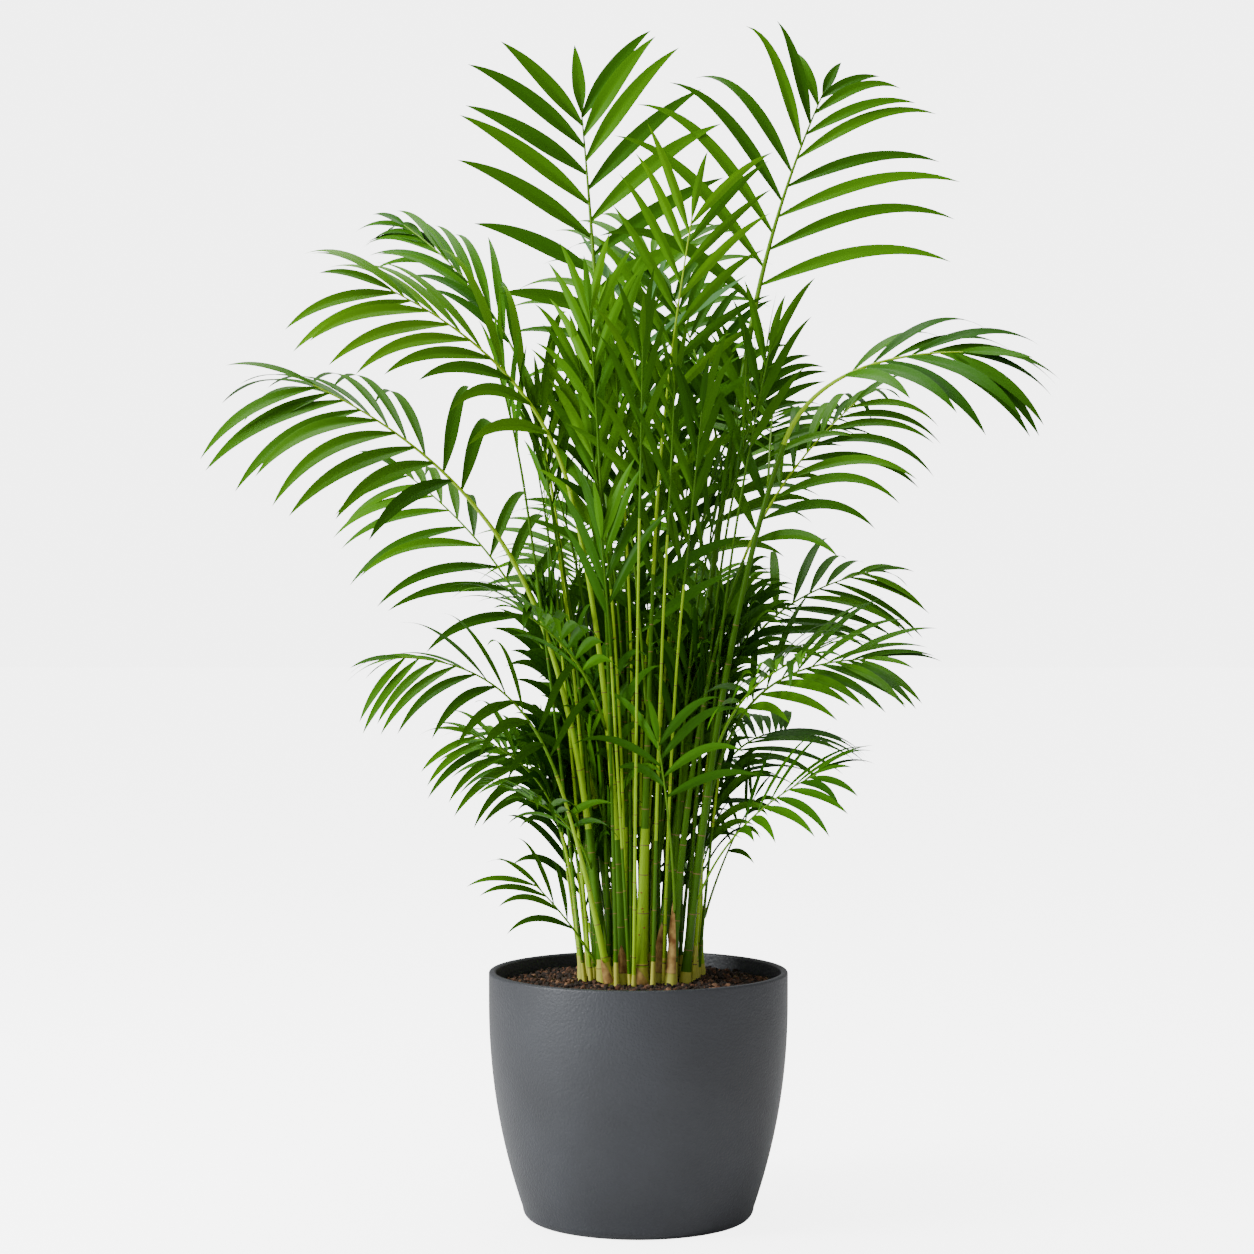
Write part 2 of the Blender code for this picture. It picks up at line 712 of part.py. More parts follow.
def build_fronds(finishes, space, canes):
    ribs = {}
    for frond in FRONDS:
        curve = rib_curve(frond, canes)
        mesh = rib_mesh(frond, curve)
        space.take(frond.name, mesh)
        ribs[frond.name] = (curve, mesh)
    for frond in FRONDS:
        curve, rib = ribs[frond.name]
        most = MOST_SOLID_PAIRS if frond.at == TOP else FEWER_SOLID_PAIRS
        pairs = min(KINDS[frond.kind].pairs, most)
        blades = []
        for leaflet in leaflets(frond, curve, pairs):
            blade = clear_blade(frond.name, leaflet, space)
            if blade:
                space.take(frond.name, blade)
                blades.append(blade)
        joined(frond.name, rib, blades, finishes[frond.tone])


def main():
    clear_scene()
    finishes = materials()
    space = Space()
    build_pot(finishes)
    canes = build_canes(finishes, space)
    build_fronds(finishes, space, canes)


main()
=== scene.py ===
"""The look of the potted chamaedorea palm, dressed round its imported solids.

Metres, +Z up. The origin is the centre of the pot's flat underside, and -Y is the front.
Canes, ribs and leaflets grow by the same rule as the solids, and are carried finer here.
"""

import math
import random
from typing import NamedTuple

import bpy
import numpy as np
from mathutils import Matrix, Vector
from mathutils.bvhtree import BVHTree


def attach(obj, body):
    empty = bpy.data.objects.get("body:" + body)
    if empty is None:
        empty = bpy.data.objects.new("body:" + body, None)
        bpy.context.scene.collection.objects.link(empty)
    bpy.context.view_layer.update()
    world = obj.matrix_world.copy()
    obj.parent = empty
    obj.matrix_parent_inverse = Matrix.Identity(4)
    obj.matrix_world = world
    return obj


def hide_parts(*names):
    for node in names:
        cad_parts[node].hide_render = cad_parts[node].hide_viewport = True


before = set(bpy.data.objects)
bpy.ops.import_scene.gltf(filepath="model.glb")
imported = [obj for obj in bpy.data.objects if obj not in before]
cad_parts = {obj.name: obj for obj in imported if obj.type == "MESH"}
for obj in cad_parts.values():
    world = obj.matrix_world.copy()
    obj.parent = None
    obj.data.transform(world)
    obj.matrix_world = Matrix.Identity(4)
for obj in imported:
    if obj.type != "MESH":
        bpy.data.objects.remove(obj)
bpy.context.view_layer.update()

UP = Vector((0, 0, 1))
FRONT = Vector((0, -1, 0))
FRONT_TURN = -90
CLEAR = 0.0003
CURVE_STEPS = 24
HALVINGS = 30
SCATTER = (12.9898, 78.233, 43758.5453)
BODY = "root"

# Pot
POT_HEIGHT = 0.249
RIM_RADIUS = 0.150
SHOULDER = 0.220
FOOT_DRAW = 0.038
FOOT_POWER = 2.1
FOOT_ROUNDING = 0.012
WALL = 0.007
FLOOR = 0.007
LIP_ROUNDING = 0.0025
UNDERSIDE_RING = 0.5
ARC_STEPS = 8
WALL_STEPS = 28
INNER_STEPS = 12
POT_SIDES = 160

# Soil
SOIL_EDGE = 0.233
SOIL_TOP = 0.240
MOUND_RADIUS = 0.078
SOIL_BASE = 0.095
SOIL_LEVELS = (0.040, 0.090, 0.160)
SOIL_SIDES = 120
SOIL_RINGS = 40
SOIL_SEED = 5
SURFACE_BAND = 0.001
SOIL_RELIEF = 0.0016
RELIEF_ENDS = (-1, 0.4)
CRUMBS = 3200
CRUMB_SEED = 7
CRUMB_SIZES = (0.0009, 0.0034)
CRUMB_SIZE_POWER = 2.2
CRUMB_STRETCH = (0.6, 1.25)
CRUMB_DENTS = 0.25
CRUMB_MARGIN = 0.003
CRUMB_RAISE = 0.15
CRUMB_SHARES = {"dark": 0.45, "brown": 0.33, "red": 0.14, "tan": 0.08}

# Canes
CANE_SIDES = 16
CANE_CROOK = 0.34
TAPER_POWER = 1.3
STALK_OVER_RIB = 0.0002
DRAWN_TAPER = 1.8
CANE_STEP = 0.012
FLARE = 1.3
FLARE_HEIGHT = 0.014
RINGED_TO = 0.36
RING_GAPS = (0.026, 0.052)
RING_GAP_VARIES = 0.5
RING_ROWS = (-0.0050, -0.0018, -0.0005, 0.0005, 0.0018, 0.0050)
SCAR_ROW = RING_ROWS[2]
SCAR_TOLERANCE = 0.0001
SWOLLEN_TO = 0.00182
RING_CLEARANCE = 0.002
RING_SWELL = 0.07
SWELL_ALOFT = 0.5
PALE_FOOT = 0.016
PALE_VARIES = 0.6
PALE_EDGE_VARIES = 0.004
LIME_ABOVE = 0.13
LIME_BELOW_AT = 0.1
GREEN_ALOFT_AT = -0.2
CANE_FINISHES = ("green", "lime", "foot", "scar")
GREEN_BAND, LIME_BAND, FOOT_BAND, SCAR_BAND = range(len(CANE_FINISHES))
SHEATH_GAP = 0.0007
SHEATHS = {
    "cane_centre": (0.000, 0.018),
    "cane_tall_right": (0.010, 0.060),
    "cane_right_mid": (0.012, 0.088),
    "cane_left_low": (0.004, 0.030),
    "cane_upper_left": (0.012, 0.040),
    "cane_back_right": (0.030, 0.095),
}
SHEATH_SIDES = 14
SHEATH_STEPS = 12
SHEATH_WRAP = 170
SHEATH_DRAW_POWER = 1.6
SHEATH_POINT = 3
SHEATH_TURNS = 50
MARKED_CANE = "cane_centre"
MARK_HEIGHTS = (0.050, 0.057, 0.073, 0.076, 0.092)
MARK_SIZE = 0.0013
MARK_SHAPE = (1, 0.35, 0.6)
MARK_TURNS = 40

# Thicket
THICKET_SEED = 11
STALKS = 72
STALK_TRIES = 1600
STALK_RADII = (0.0015, 0.0027)
STALK_TURNS = (-20, 20)
STALK_LEANS = (6, 14)
CLUMP_RADIUS = 0.060
FRONT_OF = -0.010
STALK_FAN = 0.8
FAN_HEIGHT = 0.36
FAN_VARIES = (0.6, 1.2)
INNER_REACHES = (0.02, 0.04)
INNER_RISES = (0.08, 0.13)
INNER_ROLLS = (-40, 40)
INNER_SIZES = (0.75, 1.0)
# Behind the canes, this share of the inner fronds keeps the leaf's own green, and the rest get a
# darker tone that paints shade.
MID_SHARE = 0.5
# In front of the canes, an inner frond whose wobble is above this gets a lighter tone that paints
# light.
PAINTED_LIGHT_ABOVE = -0.2

# Ribs and leaflets
LIME_RIBS = ("frond_centre", "frond_right", "frond_right_mid", "frond_upper_left", "frond_left")
RIB_SIDES = 7
RIB_RINGS = 26
RIB_CROOK = 0.48
RIB_TIP_RADIUS = 0.0007
RIB_SLIM = 0.88
PETIOLE_DROP = 0.014
BLADE_END = 0.98
CLOSING = 1.3
OPEN_AT_ROOT = 68
OPEN_AT_TIP = 36
LIFT = 12
OPEN_VARIES = 5
LIFT_VARIES = 8
LENGTH_VARIES = 0.07
SINK_VARIES = 0.25
SINK_POWER = 1.8
END_AT = 0.99
END_LENGTH = 0.66
END_WIDTH = 0.8
END_SINK = 0.6
WIDTH_AT_LEAST = 0.75
LEAFLET_STEPS = 16
PLEATS = (1.0, 0.75, 0.5, 0.25, 0.0, -0.25, -0.5, -0.75, -1.0)
PLEAT_DEPTH = 0.030
FOLD_AT_ROOT = 0.60
FOLD_AT_TIP = 0.12
FOLD_POWER = 3
WIDEST_AT = 0.38
NARROW_ROOT = 0.20
TIP_POWER = 2.2
TIP_DRAW = 0.12
TIP_WIDTH = 0.01
TRIES = ((1.0, 0), (1.0, 14), (1.0, -14), (0.8, 0), (0.62, 0), (0.62, 16), (0.45, 0))
SHADES = 3

# Studio: a light's name, place, size, power and colour
LIGHTS = (
    ("key", (-3.0, -1.4, 1.8), (1.3, 2.2), 198, (0.97, 0.985, 1.0)),
    ("fill", (2.2, -2.8, 1.6), (1.6, 2.0), 3, (1.0, 0.93, 0.86)),
    ("top", (-0.4, 0.4, 3.0), (1.8, 1.8), 90, (1.0, 1.0, 1.0)),
)
LIGHTS_FACE = 0.6
FLOOR_SIZE = 28
FLOOR_SHOWN = 4.9
WORLD_SHOWN = 5.0
WORLD_LIGHT = 0.44

# Camera
CAMERA_PLACE = (-0.0114, -3.1, 0.675)
CAMERA_DOWN = 1.515
CAMERA_LENS = 89.0
CAMERA_SENSOR = 36


class Kind(NamedTuple):
    """What the fronds of one kind share.

    A leaflet's length is the longest at longest_at along the blade, and has these shares of it
    at the blade's root and tip. sink is how far a leaflet's heading falls by its end.
    """
    pairs: int
    leaflet: float
    width: float
    root_share: float
    longest_at: float
    tip_share: float
    sink: float
    rib: float


KINDS = {
    "broad": Kind(7, 0.160, 0.0180, 0.62, 0.55, 0.72, 0.45, 0.0031),
    "feather": Kind(8, 0.205, 0.0140, 0.90, 0.15, 0.34, 0.90, 0.0034),
    "wide": Kind(9, 0.165, 0.0160, 0.78, 0.45, 0.80, 1.10, 0.0026),
    "long": Kind(10, 0.165, 0.0130, 0.78, 0.45, 0.80, 1.10, 0.0022),
    "mid": Kind(9, 0.125, 0.0108, 0.80, 0.40, 0.62, 1.10, 0.0018),
    "small": Kind(7, 0.095, 0.0088, 0.84, 0.35, 0.62, 1.10, 0.0015),
    "sparse": Kind(4, 0.105, 0.0098, 0.90, 0.40, 0.80, 1.00, 0.0016),
    "spear": Kind(1, 0.140, 0.0100, 1.00, 0.50, 1.00, 0.02, 0.0018),
}


class Cane(NamedTuple):
    """A cane: its foot on the soil, the way it leans, how far and how high its top is."""
    name: str
    foot: tuple
    turn: float
    reach: float
    top: float
    lean: float
    thick: float


class Frond(NamedTuple):
    """A frond: the cane and the height that it leaves it at (TOP goes on from its end)."""
    name: str
    cane: str
    at: float
    turn: float
    lean: float
    reach: float
    rise: float
    kind: str
    roll: float = 0
    twist: float = 0
    lift: float = LIFT
    open: float = 1.0
    size: float = 1.0
    sink: float = 1.0
    bare: float = 0.06
    crook: float = RIB_CROOK
    first: int = -1
    # The mid tone is the leaf's own green. A darker tone is painted shade for fronds at the back,
    # inside the clump or away from the key light, and a lighter tone is painted light for fronds
    # in front or toward it.
    tone: str = "mid"


class Inner(NamedTuple):
    """What the inner fronds of one side of the clump share. rise and size are factors."""
    tops: tuple
    kind: str
    rise: float
    size: float
    open: float
    sink: float
    bare: float


TOP = 0.0
FRONT_INNER = Inner((0.56, 0.76), "sparse", 1.3, 1.1, 0.40, 0.6, 0.25)
BACK_INNER = Inner((0.28, 0.52), "small", 1.0, 1.3, 0.60, 1.0, 0.1)

CANES = (
    Cane("cane_centre", (0.002, -0.042), -56, 0.022, 0.646, 4, 0.0068),
    Cane("cane_tall_left", (-0.006, -0.012), 111, 0.097, 0.890, 9, 0.0052),
    Cane("cane_tall_right", (0.018, -0.030), 43, 0.132, 0.894, 14, 0.0048),
    Cane("cane_upper_left", (-0.015, -0.044), 205, 0.058, 0.729, 16, 0.0043),
    Cane("cane_upper_back", (-0.022, 0.004), 142, 0.092, 0.772, 12, 0.0043),
    Cane("cane_left", (-0.036, -0.030), 192, 0.099, 0.675, 33, 0.0046),
    Cane("cane_left_mid", (-0.042, 0.018), 168, 0.055, 0.569, 22, 0.0040),
    Cane("cane_left_low", (-0.028, -0.049), 223, 0.071, 0.452, 25, 0.0042),
    Cane("cane_left_foot", (-0.056, -0.010), 200, 0.030, 0.411, 22, 0.0040),
    Cane("cane_right", (0.046, -0.036), -14, 0.099, 0.773, 20, 0.0048),
    Cane("cane_right_mid", (0.032, -0.046), 11, 0.073, 0.660, 22, 0.0052),
    Cane("cane_right_back", (0.062, 0.026), 40, 0.046, 0.545, 30, 0.0050),
    Cane("cane_right_low", (0.056, -0.008), -20, 0.047, 0.501, 32, 0.0040),
    Cane("cane_spear", (0.004, 0.014), 100, 0.040, 0.850, 3, 0.0040),
    Cane("cane_back_left", (-0.028, 0.044), 112, 0.080, 0.590, 24, 0.0046),
    Cane("cane_back", (0.004, 0.048), 92, 0.070, 0.760, 16, 0.0050),
    Cane("cane_back_right", (0.034, 0.046), 72, 0.085, 0.640, 22, 0.0046),
)

# A frond with the darker tone sits at the back, inside the clump or on the side away from the key
# light: its darker green is painted shade.
FRONDS = (
    # A frond with the lighter tone is in front or on the upper left toward the key light: its
    # lighter green is painted light.
    Frond("frond_centre", "cane_centre", TOP, -58, 0, 0.070, 0.345, "long", roll=-25, open=0.80,
          size=0.78, sink=0.4, tone="bright"),
    Frond("frond_tall_left", "cane_tall_left", TOP, 111, 0, 0.050, 0.235, "broad", roll=-20,
          first=1),
    Frond("frond_tall_right", "cane_tall_right", TOP, 43, 0, 0.107, 0.251, "feather", roll=45,
          open=0.9, first=1),
    Frond("frond_upper_left", "cane_upper_left", TOP, 205, 0, 0.186, 0.188, "wide", roll=-60,
          twist=5, lift=-18, open=0.78, sink=0.85, size=0.88, bare=0.12, tone="bright"),
    Frond("frond_left", "cane_left", TOP, 192, 0, 0.187, 0.155, "wide", roll=-50, twist=20,
          lift=-30, size=1.03, bare=0.25),
    Frond("frond_right", "cane_right", TOP, -14, 0, 0.176, 0.088, "broad", roll=35, twist=5,
          lift=-22, open=0.62, sink=2.4, size=0.92, bare=0.4, tone="deep"),
    Frond("frond_right_mid", "cane_right_mid", TOP, 11, 0, 0.116, 0.158, "mid", roll=50,
          twist=-15, lift=-25, open=0.8, sink=1.3, size=1.1),
    Frond("frond_left_low", "cane_left_low", TOP, 203, 0, 0.160, 0.116, "mid", roll=-45, twist=15,
          lift=-32, sink=0.9, crook=0.64),
    Frond("frond_right_low", "cane_right_low", TOP, -20, 0, 0.130, 0.062, "mid", roll=50,
          twist=-15, lift=-10, open=0.8, sink=0.6),
    Frond("frond_right_back", "cane_right_back", TOP, 22, 0, 0.155, 0.102, "mid", roll=45,
          twist=-15, lift=-22, open=0.8, sink=0.8),
    Frond("frond_upper_back", "cane_upper_back", TOP, 142, 0, 0.193, 0.240, "mid", roll=-40,
          lift=-20, open=0.3, sink=0.8, bare=0.3, tone="deep"),
    Frond("frond_left_mid", "cane_left_mid", TOP, 168, 0, 0.146, 0.180, "mid", roll=-45,
          lift=-40, sink=0.9, size=1.1),
    Frond("frond_left_foot", "cane_left_foot", TOP, 200, 0, 0.083, 0.076, "small", roll=-60,
          twist=20, lift=-30, size=1.1),
    Frond("frond_spear", "cane_spear", TOP, 60, 0, 0.020, 0.060, "spear", tone="pale"),
    Frond("frond_back_left", "cane_back_left", TOP, 88, 0, 0.190, 0.120, "mid"),
    Frond("frond_back", "cane_back", TOP, 85, 0, 0.170, 0.230, "long", size=0.95),
    Frond("frond_back_right", "cane_back_right", TOP, 75, 0, 0.200, 0.150, "mid"),
    Frond("frond_front_small", "cane_right_mid", 0.315, -110, 5, 0.050, 0.170, "sparse",
          bare=0.55),
    Frond("frond_right_foot", "cane_right", 0.330, -35, 25, 0.135, 0.125, "small", roll=50,
          twist=-15, lift=-10, open=0.8, sink=0.7, size=1.1, bare=0.4, tone="deep"),
    Frond("frond_right_foot_small", "cane_right_back", 0.300, -10, 15, 0.050, 0.120, "sparse",
          roll=40, size=0.6, bare=0.5),
    Frond("frond_left_foot_small", "cane_left", 0.262, 187, 30, 0.060, 0.078, "sparse", roll=-35,
          lift=-10, open=0.7, size=0.85, bare=0.2),
    Frond("frond_inner_left", "cane_tall_left", 0.580, 75, 8, 0.055, 0.250, "mid", roll=-20,
          open=0.8, sink=0.6, bare=0.2),
    Frond("frond_inner_right", "cane_tall_right", 0.660, 60, 12, 0.060, 0.180, "mid", roll=40,
          open=0.8, sink=0.7, bare=0.2),
    Frond("frond_inner_back", "cane_centre", 0.520, 120, 8, 0.060, 0.300, "mid", roll=-10,
          open=0.8, sink=0.5, size=1.1, bare=0.2, tone="deep"),
    Frond("frond_high_back", "cane_tall_right", 0.740, 118, 14, 0.110, 0.200, "mid", bare=0.15,
          open=0.8, sink=0.6, tone="deep"),
    Frond("frond_low_back_left", "cane_back_left", 0.400, 128, 35, 0.160, 0.070, "small",
          size=1.15, bare=0.3, tone="deep"),
    Frond("frond_low_back", "cane_back", 0.380, 95, 35, 0.180, 0.080, "small", size=1.15,
          bare=0.3, tone="deep"),
    Frond("frond_low_back_right", "cane_back_right", 0.360, 65, 35, 0.160, 0.080, "small",
          size=1.15, bare=0.3, tone="deep"),
    Frond("frond_mid_back_left", "cane_upper_back", 0.550, 90, 30, 0.190, 0.120, "mid",
          bare=0.3),
    Frond("frond_mid_back", "cane_back", 0.500, 88, 30, 0.200, 0.140, "mid", bare=0.3,
          tone="deep"),
    Frond("frond_mid_back_right", "cane_back_right", 0.500, 80, 30, 0.200, 0.140, "mid",
          bare=0.3),
    Frond("frond_front_left", "cane_upper_left", 0.500, 235, 25, 0.130, 0.110, "mid", roll=-20,
          open=0.8, bare=0.3),
    Frond("frond_front_left_foot", "cane_left", 0.360, 235, 30, 0.100, 0.070, "small", roll=-15,
          bare=0.3),
    Frond("frond_front_right", "cane_right", 0.480, -50, 28, 0.130, 0.090, "mid", roll=20,
          bare=0.3, size=0.9),
    Frond("frond_right_side", "cane_right_back", 0.420, 55, 35, 0.150, 0.060, "mid", roll=20,
          bare=0.3, tone="deep"),
    Frond("frond_left_side", "cane_left_mid", 0.400, 150, 35, 0.100, 0.070, "small", roll=-20,
          bare=0.3),
    Frond("frond_right_upper", "cane_right", 0.725, 85, 30, 0.140, 0.090, "mid", roll=10,
          bare=0.25),
    Frond("frond_core_high", "cane_tall_left", 0.660, 30, 20, 0.110, 0.180, "mid", open=0.8,
          sink=0.7, bare=0.25),
    Frond("frond_core_right", "cane_spear", 0.260, 35, 8, 0.070, 0.320, "mid", roll=20,
          open=0.8, sink=0.6, bare=0.5),
    Frond("frond_core_left", "cane_upper_back", 0.260, 150, 10, 0.060, 0.340, "mid", roll=-20,
          open=0.8, sink=0.6, bare=0.5),
    Frond("frond_core_back", "cane_back_right", 0.270, 120, 6, 0.050, 0.380, "mid", open=0.8,
          sink=0.6, bare=0.5, tone="deep"),
)

TOP_RADII = {frond.cane: KINDS[frond.kind].rib + STALK_OVER_RIB
             for frond in FRONDS if frond.at == TOP}


# Materials

NOISE_ENDS = (0.35, 0.65)


def material(name, colour, roughness, specular=0.5):
    """A Principled material; colour is linear."""
    made = bpy.data.materials.new(name)
    made.use_nodes = True
    shader = made.node_tree.nodes["Principled BSDF"]
    shader.inputs["Base Color"].default_value = (*colour, 1)
    shader.inputs["Roughness"].default_value = roughness
    shader.inputs["Metallic"].default_value = 0
    shader.inputs["Specular IOR Level"].default_value = specular
    return made


def node(tree, kind, **values):
    """A shader node with the given inputs."""
    made = tree.nodes.new(kind)
    for name, value in values.items():
        made.inputs[name.replace("_", " ")].default_value = value
    return made


def noise_colour(made, scale, low, high, detail=4.0):
    """Paints a material with noise between two colours, and gives the coordinates it reads."""
    tree = made.node_tree
    shader = tree.nodes["Principled BSDF"]
    coords = tree.nodes.new("ShaderNodeTexCoord")
    noise = node(tree, "ShaderNodeTexNoise", Scale=scale, Detail=detail)
    ramp = tree.nodes.new("ShaderNodeValToRGB")
    ramp.color_ramp.elements[0].position = NOISE_ENDS[0]
    ramp.color_ramp.elements[0].color = (*low, 1)
    ramp.color_ramp.elements[1].position = NOISE_ENDS[1]
    ramp.color_ramp.elements[1].color = (*high, 1)
    tree.links.new(coords.outputs["Object"], noise.inputs["Vector"])
    tree.links.new(noise.outputs["Fac"], ramp.inputs["Fac"])
    tree.links.new(ramp.outputs["Color"], shader.inputs["Base Color"])
    return coords


def noise_bump(made, coords, scale, strength, distance, detail=3.0):
    """Gives a material a fine bump from noise."""
    tree = made.node_tree
    shader = tree.nodes["Principled BSDF"]
    noise = node(tree, "ShaderNodeTexNoise", Scale=scale, Detail=detail)
    bump = node(tree, "ShaderNodeBump", Strength=strength, Distance=distance)
    tree.links.new(coords.outputs["Object"], noise.inputs["Vector"])
    tree.links.new(noise.outputs["Fac"], bump.inputs["Height"])
    tree.links.new(bump.outputs["Normal"], shader.inputs["Normal"])


LEAF_COLOURS = {
    # A darker copy of the leaf green: painted shade for fronds at the back and inside the clump.
    "deep": ((0.017, 0.080, 0.001), (0.026, 0.108, 0.001), (0.038, 0.140, 0.002)),
    "mid": ((0.026, 0.102, 0.001), (0.039, 0.138, 0.001), (0.054, 0.176, 0.002)),
    # A lighter copy of the leaf green: painted light for fronds in front and toward the key
    # light.
    "bright": ((0.044, 0.155, 0.002), (0.064, 0.200, 0.002), (0.090, 0.255, 0.003)),
    "pale": ((0.060, 0.170, 0.045), (0.080, 0.205, 0.060), (0.100, 0.240, 0.075)),
}


def leaf_materials():
    """Each tone's shades, by tone and step."""
    made = {}
    for tone, colours in LEAF_COLOURS.items():
        for step, colour in enumerate(colours):
            name = f"leaf_{tone}_{step + 1}"
            made[tone, step] = material(name, colour, 0.42, specular=0.07)
    return made


def sheath_material():
    made = material("cane_dry_sheath", (0.400, 0.220, 0.060), 0.80, specular=0.2)
    coords = noise_colour(made, 90.0, (0.200, 0.085, 0.022), (0.520, 0.350, 0.110))
    noise_bump(made, coords, scale=260.0, strength=0.5, distance=0.0008)
    return made


def cane_materials():
    return {
        "green": material("cane_green", (0.052, 0.150, 0.001), 0.36, specular=0.16),
        "lime": material("cane_lime", (0.270, 0.470, 0.006), 0.34, specular=0.20),
        "foot": material("cane_pale_foot", (0.480, 0.480, 0.070), 0.45, specular=0.20),
        "scar": material("cane_ring_scar", (0.200, 0.130, 0.030), 0.65),
        "sheath": sheath_material(),
        "mark": material("cane_red_mark", (0.300, 0.030, 0.012), 0.60),
        "rib": material("rib_green", (0.100, 0.240, 0.002), 0.42, specular=0.2),
    }


def pot_material():
    made = material("pot_slate_plastic", (0.029, 0.031, 0.037), 0.48)
    coords = noise_colour(made, 9.0, (0.024, 0.026, 0.031), (0.034, 0.037, 0.044), detail=8.0)
    noise_bump(made, coords, scale=420.0, strength=0.75, distance=0.0009, detail=2.0)
    return made


def soil_materials():
    base = material("potting_soil", (0.030, 0.017, 0.010), 0.95)
    coords = noise_colour(base, 160.0, (0.010, 0.006, 0.004), (0.060, 0.034, 0.020))
    noise_bump(base, coords, scale=500.0, strength=0.8, distance=0.001)
    return {
        "base": base,
        "dark": material("soil_crumb_dark", (0.018, 0.010, 0.006), 0.95),
        "brown": material("soil_crumb_brown", (0.055, 0.025, 0.012), 0.95),
        "red": material("soil_crumb_red_brown", (0.100, 0.040, 0.018), 0.92),
        "tan": material("soil_crumb_tan", (0.180, 0.090, 0.045), 0.90),
    }


# Meshes

class Heap:
    """Points and faces that are gathered into one piece, each face with its material's place."""

    def __init__(self):
        self.points, self.faces, self.marks = [], [], []
        self.count = 0

    def add(self, points, faces, marks):
        self.points.append(np.asarray(points, dtype=float))
        self.faces.append(np.asarray(faces, dtype=int) + self.count)
        self.marks.append(np.broadcast_to(np.asarray(marks, dtype=int), (len(faces),)))
        self.count += len(points)

    def mesh(self, name, finishes):
        made = bpy.data.meshes.new(name)
        faces = [row for block in self.faces for row in block.tolist()]
        made.from_pydata(np.concatenate(self.points).tolist(), [], faces)
        for finish in finishes:
            made.materials.append(finish)
        made.polygons.foreach_set("material_index", np.concatenate(self.marks).tolist())
        made.shade_smooth()
        made.update()
        return made


def piece(name, mesh, slot, *nodes):
    """Links a finished piece, rides it on the plant's only body, and hides the solids that it
    stands for.
    """
    made = bpy.data.objects.new(name, mesh)
    bpy.context.scene.collection.objects.link(made)
    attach(made, BODY)
    if nodes:
        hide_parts(*nodes)
    return made


def grid_faces(rows, columns, around=False):
    """Quads over a grid of points in rows; around closes each row on itself."""
    across = columns if around else columns - 1
    one = np.arange(rows - 1)[:, None] * columns
    here = np.arange(across)[None, :]
    there = (here + 1) % columns
    quads = np.stack([one + here, one + there, one + columns + there, one + columns + here], -1)
    return quads.reshape(-1, 4)


def tube(rings):
    """Points and quads of a tube through rings. Its ends are open."""
    rings = np.asarray(rings)
    rows, sides = rings.shape[:2]
    return rings.reshape(-1, 3), grid_faces(rows, sides, around=True)


# Curves

def seed_of(name):
    """A number that stands for a name, so that each cane and frond varies in its own way."""
    return sum(ord(letter) for letter in name)


def wobble(seed, step):
    """A number from -1 to 1 that is always the same for one seed and one step.

    Each thing that varies on its own has its own step, or adds its own fraction to step.
    """
    by_seed, by_step, spread = SCATTER
    value = math.sin(seed * by_seed + step * by_step) * spread
    return 2 * (value - math.floor(value)) - 1


def direction(turn):
    """The level heading, turned this many degrees from +X."""
    angle = math.radians(turn)
    return Vector((math.cos(angle), math.sin(angle), 0))


def leaning(turn, lean):
    """The heading that leans this many degrees from upright, this way round."""
    angle = math.radians(lean)
    return direction(turn) * math.sin(angle) + UP * math.cos(angle)


class Curve:
    """A quadratic curve from root toward crook to tip, read by its share of length."""

    def __init__(self, root, crook, tip):
        self.root, self.crook, self.tip = root, crook, tip
        places = [self.at(step / CURVE_STEPS) for step in range(CURVE_STEPS + 1)]
        self.lengths = [0.0]
        for one, two in zip(places, places[1:]):
            self.lengths.append(self.lengths[-1] + (two - one).length)

    def at(self, t):
        return self.root * (1 - t) ** 2 + self.crook * (2 * t * (1 - t)) + self.tip * t * t

    def parameter(self, share):
        target = share * self.lengths[-1]
        for step in range(CURVE_STEPS):
            here, there = self.lengths[step], self.lengths[step + 1]
            if target <= there:
                return (step + (target - here) / (there - here)) / CURVE_STEPS
        return 1.0

    def point(self, share):
        return self.at(self.parameter(share))

    def heading(self, share):
        t = self.parameter(share)
        return ((self.crook - self.root) * (1 - t) + (self.tip - self.crook) * t).normalized()

    def share_at_height(self, height):
        low, high = 0.0, 1.0
        for _ in range(HALVINGS):
            middle = (low + high) / 2
            if self.point(middle).z < height:
                low = middle
            else:
                high = middle
        return low


def cane_curve(cane):
    foot = Vector((*cane.foot, SOIL_TOP + CLEAR))
    top = foot + direction(cane.turn) * cane.reach
    top.z = cane.top
    crook = top - leaning(cane.turn, cane.lean) * (top - foot).length * CANE_CROOK
    return Curve(foot, crook, top)


def cane_radius(cane, share):
    """Thick at the foot, tapering to the thickness of its frond's stalk at the top."""
    end = TOP_RADII[cane.name]
    return end + (cane.thick - end) * (1 - share) ** TAPER_POWER


def rib_curve(frond, canes):
    """A top frond goes on from its cane's end, and a side frond starts beside its cane."""
    cane, curve = canes[frond.cane]
    if frond.at == TOP:
        heading = curve.heading(1)
        root = curve.point(1) + heading * CLEAR
    else:
        heading = leaning(frond.turn, frond.lean)
        share = curve.share_at_height(frond.at)
        along = curve.heading(share)
        away = direction(frond.turn)
        away = (away - along * away.dot(along)).normalized()
        gap = cane_radius(cane, share) + KINDS[frond.kind].rib + CLEAR
        root = curve.point(share) + away * gap
    tip = root + direction(frond.turn) * frond.reach + UP * frond.rise
    crook = root + heading * (tip - root).length * frond.crook
    return Curve(root, crook, tip)


def rib_radius(frond, share):
    start = KINDS[frond.kind].rib * RIB_SLIM
    return start + (RIB_TIP_RADIUS - start) * share


